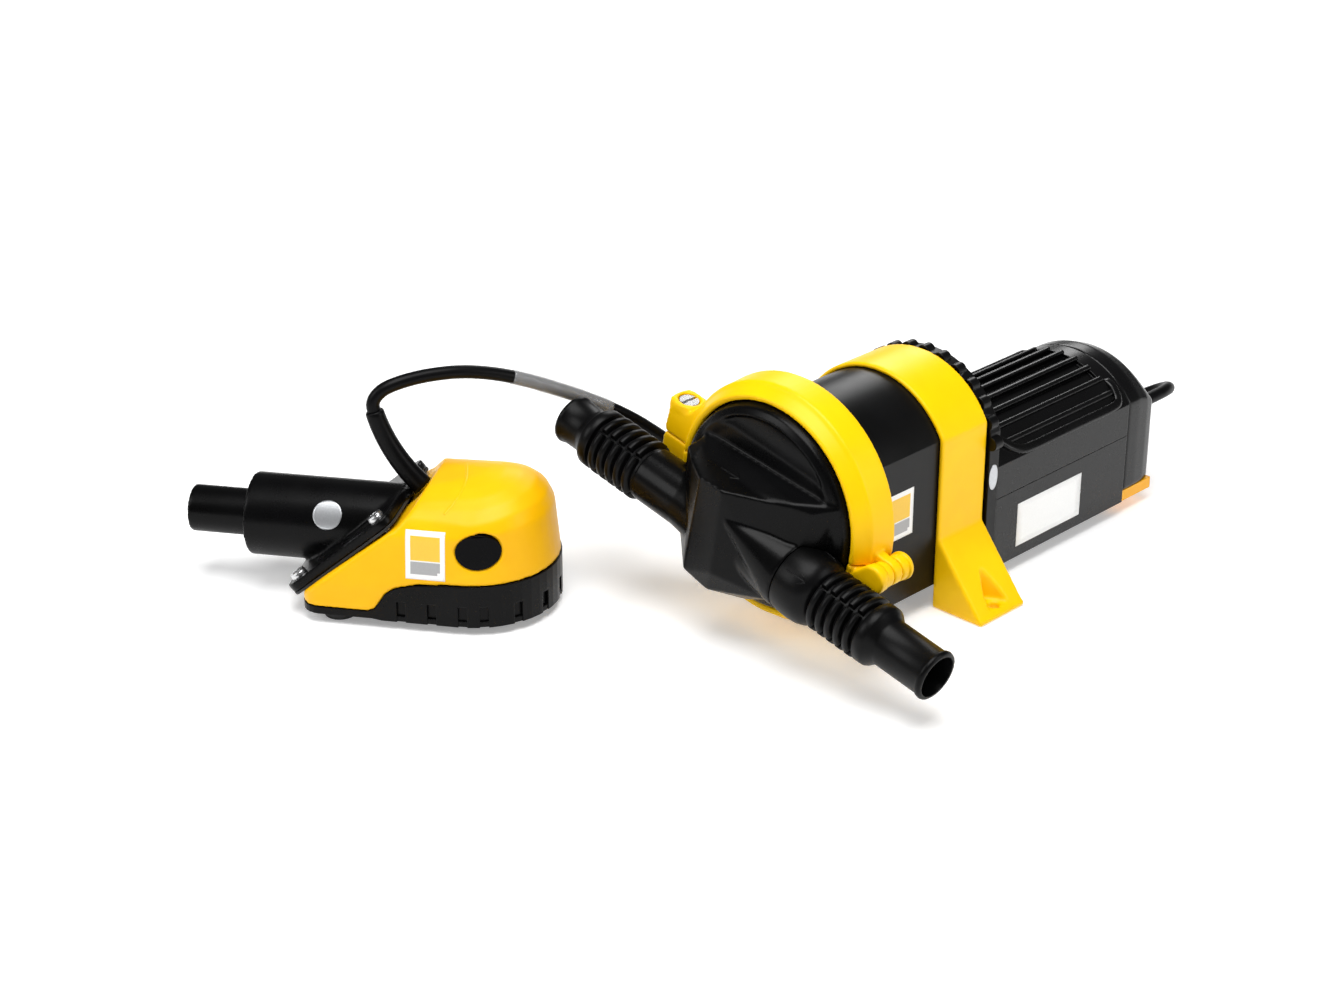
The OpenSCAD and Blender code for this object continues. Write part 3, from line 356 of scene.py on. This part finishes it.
# the cover plate in front of the knuckles, and a boss over each end of the pin
hinge_x, plate_r = 55.6, 5.9
plate = [on_head(hinge_x + plate_r * cos(a), y, plate_r * sin(a)) for y in (-0.8, 2.5) for a in turn]
plate += [on_head(x, y, z) for y in (-0.6, 2.5) for x, z in ((46.8, -1.2), (45.6, -9), (43.6, -17), (50, -13.5))]
moulding("clamp_lower", acetal_yellow, 0.6, 5, [(plate, None)])
for label, y, way in (("front", 2.6, -1), ("back", 17.4, 1)):
    levels = [(5.6, -1.2), (5.6, 0.3), (5.2, 1.0), (4.0, 1.45), (1.8, 1.6)]
    verts = [on_head(hinge_x + r * cos(a), y + way * rise, r * sin(a)) for r, rise in levels for a in turn]
    faces = belt(len(levels), sides) + [tuple(range(sides)), tuple(range(4 * sides, 5 * sides))]
    put("hinge_boss_" + label, verts, faces, "frame", "yellow_plastic", acetal_yellow, closed=True)


def turned_metal(name, low, high, rough, scale):
    material, place = start(name)
    # fine turning and rolling marks
    stretch = add(material, "ShaderNodeMapping", {"Vector": place}, Scale=(scale, scale, scale * 0.12))
    marks = add(material, "ShaderNodeTexNoise", {"Vector": stretch.outputs["Vector"]}, Scale=1.0, Detail=3.0)
    tone = add(material, "ShaderNodeValToRGB", {"Fac": marks.outputs["Fac"]})
    for stop, position, code in zip(tone.color_ramp.elements, (0.3, 0.7), (low, high)):
        stop.position, stop.color = position, colour(code)
    matt = add(material, "ShaderNodeMapRange", {"Value": marks.outputs["Fac"]},
               To_Min=rough - 0.06, To_Max=rough + 0.10)
    edge = add(material, "ShaderNodeBevel", samples=6, Radius=0.0002)
    bump = add(material, "ShaderNodeBump", {"Height": marks.outputs["Fac"], "Normal": edge.outputs["Normal"]},
               Strength=1.0, Distance=0.00001)
    body = add(material, "ShaderNodeBsdfPrincipled",
               {"Base Color": tone.outputs["Color"], "Roughness": matt.outputs["Result"]}, Metallic=1.0)
    return finish(material, body, bump.outputs["Normal"])


stainless = turned_metal("stainless_steel", "#b9babc", "#dcdcdc", rough=0.26, scale=2200)
dress(stainless, "clamp_hinge_pin", "clamp_screw", "clamp_nut")


# ---------- diaphragm and valves ----------
# Moulded nitrile rubber: the rolling diaphragm between two nylon plates, its rim clamped under the
# head, and the flap valves on their seats. Matt, charcoal rather than black.
rubber = moulded_plastic("nitrile_rubber", "#141414", "#1e1e1e", rough=0.62, grain_mm=0.5, depth_mm=0.010,
                         edge_mm=0.3, ior=1.52, gloss=0.4, sheen=0.1)
dress(rubber, "inlet_flap", "outlet_flap", "check_flap", "diaphragm_rim", "diaphragm")
dress(nylon_black, "front_plate", "back_plate")


# ---------- pump body and gear case ----------
# The body that carries the mechanism, and the scalloped flange of the gear case behind it. Both are
# moulded in half-matt ABS.
abs_black = moulded_plastic("abs_satin_black", "#040404", "#080809", rough=0.32, grain_mm=0.7, depth_mm=0.006,
                            edge_mm=0.5, ior=1.54, gloss=0.16)
dress(abs_black, "pump_body", "gearbox_cover")


# ---------- mounting bracket ----------
# An acetal strap over the body, with a foot on each side that one bolt holds to the floor. Its edges
# keep the tool's radius.
moulding("mounting_bracket", acetal_yellow, 0.75, 5)


# ---------- gear train and motor ----------
# Zinc-plated motor can and bearings, an armature of enamelled copper, a brass worm and a worm wheel of
# natural nylon on a steel shaft, and the control board beside them.
zinc = turned_metal("zinc_plated_steel", "#a3a7ab", "#c6c9cc", rough=0.34, scale=1800)
copper = turned_metal("enamelled_copper", "#8a4a28", "#b86e3c", rough=0.38, scale=1500)
brass = turned_metal("machined_brass", "#a8842f", "#caa650", rough=0.30, scale=2000)
nylon_white = moulded_plastic("natural_nylon", "#ded7c2", "#e9e4d4", rough=0.45, grain_mm=0.8, depth_mm=0.004,
                              edge_mm=0.2, ior=1.53)
resist = moulded_plastic("solder_resist_green", "#12522a", "#1f6b3a", rough=0.30, grain_mm=0.6, depth_mm=0.006,
                         edge_mm=0.1)
dress(zinc, "drive_yoke", "motor_can", "front_bearing", "rear_bearing")
dress(copper, "armature")
dress(brass, "worm")
dress(nylon_white, "worm_wheel")
dress(stainless, "wheel_shaft")
dress(resist, "control_board", "sensor_board")


# ---------- motor housing ----------
# ABS from a polished tool, in an upper vault with cooling ribs, a lower cover and an end cap: darker
# and glossier than the pump body. A raised ledge borders the ribbed panel on each side.
abs_motor = moulded_plastic("abs_polished_black", "#030303", "#060607", rough=0.26, grain_mm=0.8, depth_mm=0.004,
                            edge_mm=0.5, ior=1.54, gloss=0.25)
dress(abs_motor, "motor_housing", "lower_cover")
moulding("end_cap", abs_motor, 0.8, 5)
vault_x, vault_z, vault_r = 5, 30, 38


def ridge(name, route, width_mm, height_mm):
    """A rounded ridge on the vault; its route is in degrees from the crown and mm along the motor."""
    verts, faces, row, sunk = [], [], 8, 0.9
    dense = rounded([Vector((angle, y, 0)) for angle, y in route], 6)
    ups = [Vector((sin(radians(p.x)), 0, cos(radians(p.x)))) for p in dense]
    centres = [Vector((vault_x, p.y, vault_z)) + up * vault_r for up, p in zip(ups, dense)]
    last = len(dense) - 1
    for i, (centre, up) in enumerate(zip(centres, ups)):
        along = (centres[min(i + 1, last)] - centres[max(i - 1, 0)]).normalized()
        side = along.cross(up).normalized()
        rise = height_mm * min(min(i, last - i) / 4, 1) ** 0.5
        for k in range(row + 1):
            a = pi * k / row
            spread = width_mm / 2 * max(min(cos(a) * 1.35, 1), -1)
            verts.append((centre + side * spread + up * ((rise + sunk) * sin(a) ** 0.5 - sunk)) / 1000)
        if i:
            new = i * (row + 1)
            old = new - row - 1
            faces += [(old + k, old + k + 1, new + k + 1, new + k) for k in range(row)]
            faces.append((old + row, old, new, new + row))
    faces += [tuple(range(row + 1)), tuple(range(len(verts) - row - 1, len(verts)))]
    return put(name, verts, faces, "frame", "black_plastic", abs_motor, closed=True)


rib_pitch = 11
for i in range(-4, 5):
    ridge(f"vault_rib_{i + 5}", [(rib_pitch * i, y) for y in (29, 30, 54, 78, 101, 102)], 2.3, 1.2)
ledge = [(24, 23), (34, 26), (42, 29.5), (48, 33), (52, 38), (53, 46), (53, 62), (53, 80), (53, 98),
         (51, 103.5), (44, 105.5), (34, 106)]
for label, way in (("left", -1), ("right", 1)):
    ridge("vault_ledge_" + label, [(way * angle, y) for angle, y in ledge], 4.0, 1.6)


# ---------- rear foot ----------
# A block of amber ABS, clipped under the end cap, on which the motor's end rests. The warmest of the
# yellows.
abs_yellow = moulded_plastic("abs_amber_yellow", "#f0a808", "#f6b010", rough=0.36, grain_mm=0.8, depth_mm=0.005,
                             edge_mm=0.5, ior=1.54, gloss=0.3)
dress(abs_yellow, "rear_foot")


# ---------- strainer cap ----------
# A polypropylene hood over the inlet, one moulding that clips over the base: a shade warmer than the
# clamp, with a nearly level crown and a shallow step across the roof.
pp_yellow = moulded_plastic("polypropylene_yellow", "#f6b700", "#fcc002", rough=0.38, grain_mm=0.9, depth_mm=0.006,
                            edge_mm=0.9, ior=1.49, gloss=0.2)
to_floor = Matrix.Translation((-157, -171.8, 3.4)) @ Matrix.Rotation(radians(33.9), 4, "Z")
to_strainer = to_floor.inverted()
# mm along the strainer, and how far the crown is moved there
level = [(0, 0), (38, -2.6), (46, -4.2), (58, -2.8), (72, -0.2), (86, 2.6), (94, 3.4), (100, 3.4)]
wall_top_z, crown_rise = 24, 24


def level_crown(co):
    p = to_strainer @ (co * 1000)
    for (x0, d0), (x1, d1) in zip(level, level[1:]):
        if x0 <= p.x <= x1:
            lift = d0 + (d1 - d0) * (p.x - x0) / (x1 - x0)
            high = min(max((p.z - wall_top_z) / crown_rise, 0), 1)
            p.z += lift * high * high * (3 - 2 * high)
            break
    return (to_floor @ p) / 1000


cap = moulding("strainer_cap", pp_yellow, 0.8, 10, shape=level_crown)
roof = [(-113.5, -131.5, 57), (-108, -136, 57), (-102.5, -141, 56.9), (-98.2, -146, 56), (-95.5, -151, 54.3),
        (-94.2, -156, 51.5), (-94, -160, 48)]
bead("roof_step", roof, 1.3, 0.3, cap, pp_yellow, "yellow_plastic", (0.3, -0.4, 1))


# ---------- strainer base ----------
# The black nylon foot under the cap, with inlet slots, an inner screen wall, a rim that joins the
# slots below, and rubber pads to stand on.
dress(nylon_black, "strainer_base")
dress(rubber, "strainer_pads", "flange_gasket")
nose_x, half_width, base_length = 36, 34, 99


def strainer_outline(inset, count=24):
    turned = (radians(-90 + 180 * k / count) for k in range(count + 1))
    points = [(base_length - half_width + (half_width - inset) * cos(a), (half_width - inset) * sin(a)) for a in turned]
    return [(nose_x, -half_width + inset)] + points + [(nose_x, half_width - inset)]


for name, near, far, low, high in (("inlet_screen", 1.3, 2.8, 0.3, 10.6), ("base_rim", 0.35, 2.6, 0.2, 2.4)):
    outer, inner = strainer_outline(near), strainer_outline(far)
    rings = [[(x, y, z) for x, y in edge] for z, edge in ((low, outer), (high, outer), (high, inner), (low, inner))]
    count = len(outer)
    verts = [to_floor @ Vector(p) / 1000 for ring in rings for p in ring]
    faces = [(i * count + k, i * count + k + 1, (i + 1) % 4 * count + k + 1, (i + 1) % 4 * count + k)
             for i in range(4) for k in range(count - 1)]
    faces += [(0, count, 2 * count, 3 * count), (count - 1, 2 * count - 1, 3 * count - 1, 4 * count - 1)]
    put(name, verts, faces, "frame", "black_plastic", nylon_black, smooth=False, closed=True)


# ---------- sensor window ----------
# Tinted polycarbonate, nearly black and polished, pressed into the cap's side in front of the
# sensor's board.
window_black = moulded_plastic("tinted_polycarbonate", "#050506", "#09090a", rough=0.14, grain_mm=1.5,
                               depth_mm=0.0015, edge_mm=0.3, ior=1.585, gloss=0.05)
dress(window_black, "sensor_window")


# ---------- valve housing ----------
# The nylon spout on the strainer's slope. Its square flange sits on a rubber gasket and is held by
# four pan-head stainless screws with a lobed recess.
housing = moulding("valve_housing", nylon_black, 0.7, 5)
dress(stainless, "flange_screws")


def pan_head(radius, height, recess, lobes):
    verts, sides = [], 48
    ring = [2 * pi * k / sides for k in range(sides)]
    profile = [(1, 0), (1, 0.35), (0.95, 0.62), (0.8, 0.86), (0.6, 0.98), (0.52, 1.0)]
    for r, z in profile:
        verts += [(radius * r * cos(a), radius * r * sin(a), height * z) for a in ring]
    for z, narrower in ((1.0, 1.0), (0.25, 0.94)):
        for a in ring:
            r = recess * (1 + 0.16 * cos(lobes * a)) * 0.86
            verts.append((r * narrower * cos(a), r * narrower * sin(a), height * z))
    rows = len(profile) + 2
    faces = belt(rows, sides)
    faces += [tuple((rows - 1) * sides + k for k in range(sides)), tuple(reversed(range(sides)))]
    return [Vector(v) / 1000 for v in verts], faces


# the slope's middle, how steeply it rises, and the screws' places on the flange
slope_x, slope_z, slope_rise, slope_angle = 17.4, 7.1, 0.84209, 40.1
screw_across, screw_along, flange_top = 21.75, 23.5, 5.1
slope = to_floor @ Matrix.Translation((slope_x, 0, slope_z + slope_x * slope_rise))
slope = slope @ Matrix.Rotation(radians(-slope_angle), 4, "Y")
outward = slope.to_3x3() @ Vector((0, 0, 1))
spots = [(x, y) for x in (-screw_across, screw_across) for y in (-screw_along, screw_along)]
for i, (x, y) in enumerate(spots):
    verts, faces = pan_head(radius=3.35, height=2.3, recess=1.75, lobes=6)
    spin = Vector((0, 0, 1)).rotation_difference(outward).to_matrix() @ Matrix.Rotation(0.3 + i, 3, "Z")
    spot = (slope @ Vector((x, y, flange_top))) / 1000
    screw = put(f"flange_screw_head_{i + 1}", [spot + spin @ v for v in verts], faces, "frame", "steel", stainless)
    screw.data.set_sharp_from_angle(angle=radians(40))


# ---------- labels and stickers ----------
# Printed polyester films and silver seals, stuck on the surface that carries them. The printed areas
# are plain.
def film(name, code, rough, metallic=0.0, speckle=0.0, alpha=1.0):
    material, place = start(name)
    # paper fibre or foil texture under the film
    fibre = add(material, "ShaderNodeTexNoise", {"Vector": place}, Scale=1600.0, Detail=3.0)
    base = colour(code)
    darker = tuple(c * (1 - speckle) for c in base[:3]) + (1,)
    tone = add(material, "ShaderNodeValToRGB", {"Fac": fibre.outputs["Fac"]})
    for stop, position, shade in zip(tone.color_ramp.elements, (0.3, 0.7), (darker, base)):
        stop.position, stop.color = position, shade
    bump = add(material, "ShaderNodeBump", {"Height": fibre.outputs["Fac"]}, Strength=1.0, Distance=0.000004)
    body = add(material, "ShaderNodeBsdfPrincipled", {"Base Color": tone.outputs["Color"]}, Roughness=rough,
               Metallic=metallic, Alpha=alpha)
    return finish(material, body, bump.outputs["Normal"])


label_white = film("polyester_label_white", "#f4f4f2", 0.42, speckle=0.04)
label_yellow = film("label_print_yellow", "#f6c63a", 0.42, speckle=0.05)
label_grey = film("label_print_grey", "#a9a9aa", 0.42, speckle=0.06)
label_silver = film("silver_foil_label", "#c3c5c8", 0.34, metallic=0.75, speckle=0.12)


def mm(*p):
    return Vector(p) / 1000


def lay(name, carrier, centre, across, up, xs, ys, paint, looks, oval=False):
    """A thin grid of film dropped on its carrier; paint gives each field the number of its look."""
    tree = BVHTree.FromObject(carrier, bpy.context.evaluated_depsgraph_get())
    centre, across, up = mm(*centre), Vector(across).normalized(), Vector(up)
    up = (up - across * up.dot(across)).normalized()
    out = across.cross(up)
    drop, proud, thickness = 0.02, 0.00012, 0.0001
    verts, faces, tints = [], [], []
    nx, ny = len(xs), len(ys)
    wide, high = max(xs), max(ys)
    for y in ys:
        for x in xs:
            a, b = x, y
            if oval:
                u, v = x / wide, y / high
                a = wide * u * (1 - v * v / 2) ** 0.5
                b = high * v * (1 - u * u / 2) ** 0.5
            p = centre + across * (a / 1000) + up * (b / 1000) + out * drop
            hit, _, _, _ = tree.ray_cast(p, -out)
            verts.append((hit if hit else p - out * drop) + out * proud)
    for j in range(ny - 1):
        for i in range(nx - 1):
            faces.append((j * nx + i, j * nx + i + 1, (j + 1) * nx + i + 1, (j + 1) * nx + i))
            tints.append(paint((xs[i] + xs[i + 1]) / 2, (ys[j] + ys[j + 1]) / 2))
    ob = put(name, verts, faces, "frame", "yellow_plastic")
    for look in looks:
        ob.data.materials.append(look)
    for polygon, tint in zip(ob.data.polygons, tints):
        polygon.material_index = tint
    thick = ob.modifiers.new("film", "SOLIDIFY")
    thick.thickness = thickness
    thick.offset = -1
    return ob


def steps(reach, count, extra=()):
    return sorted(set([round(-reach + 2 * reach * i / count, 4) for i in range(count + 1)] + list(extra)))


def field(x, y):
    """A white margin, a yellow field, and a grey strip with one corner left white."""
    if abs(x) > 6.0 or abs(y) > 7.9:
        return 0
    if y > -2.2:
        return 1
    return 0 if x > 4.9 and y < -6.8 or y > -2.7 else 2


def plain_field(x, y):
    return 0


label_xs = steps(8, 16, (-6, 6, 4.9))
label_ys = steps(10, 20, (-7.9, 7.9, -2.2, -2.7, -6.8))
printed = [label_white, label_yellow, label_grey]
lay("strainer_label", cap, (-95.4, -169.5, 33), (0.83, 0.5577, 0), (0, 0, 1), label_xs, label_ys, field, printed)
lay("body_label", frame["nodes"]["pump_body"], (33.5, -36.5, 48.5), (0, 1, 0), (0, 0, 1), label_xs, label_ys,
    field, printed)
lay("motor_label", frame["nodes"]["lower_cover"], (36.5, 57.2, 20.2), (0, 1, 0), (0, 0, 1), steps(21.5, 10),
    steps(9.7, 6), plain_field, [label_white])
lay("inspection_seal", housing, (-142.9, -179.6, 38.2), (0.83, 0.5577, 0), (-0.312, 0.465, 0.829), steps(6, 16),
    steps(6, 16), plain_field, [label_silver], oval=True)
lay("cover_seal", frame["nodes"]["gearbox_cover"], (36.5, 18, 48), (0, 1, 0), (0, 0, 1), steps(2.7, 12),
    steps(5.6, 16), plain_field, [label_silver], oval=True)


# ---------- sensor lead and its boot ----------
# One PVC-jacketed lead, 5.5 mm thick, from the curved boot on the strainer over the hose tail and along
# the floor to a small coil behind the pump, then round the motor and up into its gland. Slightly waxy.
jacket = moulded_plastic("pvc_jacket_black", "#050506", "#0a0a0b", rough=0.34, grain_mm=0.6, depth_mm=0.006,
                         edge_mm=0.2, ior=1.53, gloss=0.09)
lead_d, lead_length = 5.5, 1.364
boot_top = Vector((-136.535, -158.048, 78.197))
boot_dir = Vector((-0.431208, -0.28976, 0.854459))
boot_bow = Vector((-0.7092, -0.4766, -0.5195))
boot_length, bow_mm, boot_r, boot_taper, boot_steps = 36, 2.5, 4.4, 0.62, 24
coil_x, coil_y, coil_r, coil_pitch, coil_rise, coil_z = -86, 68, 37, 7, 6.2, 2.85
inward_turns, climb_turns, coil_turns = 2.375, 0.5, 5.25


def coil_point(u):
    """After u turns: inward on the floor, then up, then outward again on the second layer."""
    if u < inward_turns:
        rad, up = coil_r - coil_pitch * u, 0
    elif u < inward_turns + climb_turns:
        rad, up = coil_r - coil_pitch * inward_turns, (1 - cos(pi * (u - inward_turns) / climb_turns)) / 2
    else:
        rad, up = coil_r - coil_pitch * (2 * inward_turns + climb_turns - u), 1
    a = radians(180 - 360 * u)
    return (coil_x + rad * cos(a), coil_y + rad * sin(a), coil_z + coil_rise * up)


coil_steps = 126
coil = [coil_point(coil_turns * i / coil_steps) for i in range(coil_steps + 1)]
over = [
    (-137.1, -158.3, 81.2), (-136.6, -157, 84.4), (-134.8, -153.6, 87.4), (-132.1, -147.6, 89.2), (-129.2, -140, 90),
    (-126, -133, 90.2), (-122.8, -126, 89.8), (-119.4, -118, 88.3), (-115.2, -108.4, 85.4), (-110.8, -98, 81),
    (-106.4, -88, 76), (-101.8, -77, 70), (-97.2, -66.4, 63.5), (-93, -56, 56), (-90, -46, 47.5), (-89, -35, 38),
    (-90, -24, 28.5), (-93.5, -12, 20), (-99, 0, 13), (-105.5, 12, 7.8), (-112, 24, 4.6), (-117.5, 36, 3),
    (-121.5, 48, 2.85)]
behind = [
    (-70, 105.3, 8.2), (-60, 107.5, 6.4), (-51, 112, 4.6), (-44, 119, 3.4), (-39.5, 128, 2.9), (-36, 138, 3),
    (-32, 148, 4.2), (-26.5, 157, 7.2), (-19.5, 165, 12), (-10.5, 171.5, 18), (0, 175.5, 25), (9.5, 174.5, 31),
    (16.5, 169, 35), (19.6, 161, 36.8), (20, 153, 37), (20, 146, 37)]
(first_x, first_y, first_z), (last_x, last_y, last_z) = coil[0], coil[-1]
route = [boot_top[:]] + over + [(first_x, first_y - lead_d, first_z)] + coil
route += [(last_x + lead_d, last_y, last_z)] + behind
line = rounded([mm(*p) for p in route], 3)


def sleeve(path, radii, sides, crease=0):
    """A tube swept along the path, with radii in mm and, where asked, creases of that depth."""
    verts, faces = [], []
    side = None
    for i, p in enumerate(path):
        along = (path[min(i + 1, len(path) - 1)] - path[max(i - 1, 0)]).normalized()
        side = along.cross(Vector((0, 0, 1))) if side is None else side - along * side.dot(along)
        side.normalize()
        top = side.cross(along)
        for k in range(sides):
            a = 2 * pi * k / sides
            r = radii[min(i, len(radii) - 1)] / 1000
            if crease:
                r += crease / 1000 * noise.noise(Vector((p.x * 300 + cos(a) * 2, p.y * 300 + sin(a) * 2, k * 0.4)))
            verts.append(p + (side * cos(a) + top * sin(a)) * r)
        if i:
            for k in range(sides):
                m = (k + 1) % sides
                faces.append(((i - 1) * sides + k, i * sides + k, i * sides + m, (i - 1) * sides + m))
    faces.append(tuple(range(sides)))
    faces.append(tuple(reversed(range(len(verts) - sides, len(verts)))))
    return verts, faces


lead = put("lead", *sleeve(line, [lead_d / 2], 16), "frame", "lead_jacket", jacket)
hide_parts("sensor_lead", "lead_coil", "pump_lead")
bow = [boot_top + boot_dir * (boot_length * t - boot_length) + boot_bow * (bow_mm * 4 * t * (1 - t))
       for t in (k / boot_steps for k in range(boot_steps + 1))]
bow = [p / 1000 for p in bow] + [(boot_top + Vector((-0.1, -0.07, 0.5))) / 1000]
boot_radii = [boot_r - boot_taper * k / boot_steps for k in range(boot_steps)] + [3.72, 3.3]
boot = put("cable_boot_moulding", *sleeve(bow, boot_radii, 32), body_of["cable_boot"], slot_of["cable_boot"], jacket)
dress(jacket, "cable_boot")
dress(rubber, "cable_gland")
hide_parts("cable_boot")


# ---------- tape round the lead ----------
# A stretch of clear packing tape, wound by hand round the lead behind the inlet, and creased where it
# follows the bend.
clear_tape = film("clear_packing_tape", "#d9dadc", 0.12, speckle=0.1, alpha=0.3)
wrapped = [p for p in line[:100] if 0.0615 < p.z < 0.0842 and -0.113 < p.y < -0.062]
tape_r, tape_crease = 3.16, 0.3
tape = put("lead_tape", *sleeve(rounded(wrapped, 3), [tape_r], 28, tape_crease), "frame", "lead_jacket", clear_tape)


# ---------- studio ----------
# A white sweep that burns out to plain white away from the pump, with one large softbox overhead and
# smaller ones left, right and behind.
floor_mesh = bpy.data.meshes.new("floor")
floor_mesh.from_pydata([(-6, -6, 0), (6, -6, 0), (6, 6, 0), (-6, 6, 0)], [], [(0, 1, 2, 3)])
floor = bpy.data.objects.new("floor", floor_mesh)
bpy.context.scene.collection.objects.link(floor)
floor.location.z = -0.0003
white, place = start("studio_floor_white")
away = add(white, "ShaderNodeVectorMath", {0: place}, operation="LENGTH")
burn = add(white, "ShaderNodeMapRange", {"Value": away.outputs["Value"]}, From_Min=0.35, From_Max=0.9,
           To_Min=0.3, To_Max=1.0)
rays = add(white, "ShaderNodeLightPath")
seen = add(white, "ShaderNodeMath", {0: rays.outputs["Is Camera Ray"], 1: rays.outputs["Is Glossy Ray"]},
           operation="MAXIMUM")
seen = add(white, "ShaderNodeMath", {0: seen.outputs[0], 1: rays.outputs["Is Transmission Ray"]}, operation="MAXIMUM")
glow = add(white, "ShaderNodeMath", {0: burn.outputs["Result"], 1: seen.outputs[0]}, operation="MULTIPLY")
glow = add(white, "ShaderNodeMath", {0: glow.outputs[0]}, operation="MAXIMUM")
glow.inputs[1].default_value = 0.25
paint = add(white, "ShaderNodeBsdfPrincipled", {"Emission Strength": glow.outputs[0]}, Roughness=0.9,
            Base_Color=colour("#f3f3f3"), Emission_Color=colour("#ffffff"), Specular_IOR_Level=0.1)
finish(white, paint)
floor_mesh.materials.append(white)

world = bpy.data.worlds.new("studio")
bpy.context.scene.world = world
world.use_nodes = True
world.node_tree.nodes["Background"].inputs["Color"].default_value = colour("#ffffff")
world.node_tree.nodes["Background"].inputs["Strength"].default_value = 0.12


def softbox(name, spot, target, width, height, watts):
    light = bpy.data.lights.new(name, "AREA")
    light.shape = "RECTANGLE"
    light.size, light.size_y, light.energy = width, height, watts
    ob = bpy.data.objects.new(name, light)
    ob.location = spot
    ob.rotation_euler = (Vector(target) - Vector(spot)).to_track_quat("-Z", "Y").to_euler()
    bpy.context.scene.collection.objects.link(ob)


softbox("overhead", (0.1, -0.25, 1.15), (0, -0.03, 0.05), width=0.8, height=0.8, watts=15)
softbox("left", (-0.55, -1.0, 0.75), (-0.05, -0.05, 0.05), width=0.5, height=0.6, watts=5)
softbox("right", (1.0, 0.35, 0.5), (0.03, 0, 0.05), width=0.5, height=0.7, watts=4)
softbox("behind", (-0.8, 1.05, 0.75), (-0.05, -0.05, 0.05), width=0.5, height=0.5, watts=4)

bpy.context.scene.view_settings.view_transform = "Standard"
bpy.context.scene.view_settings.look = "None"
bpy.context.view_layer.update()
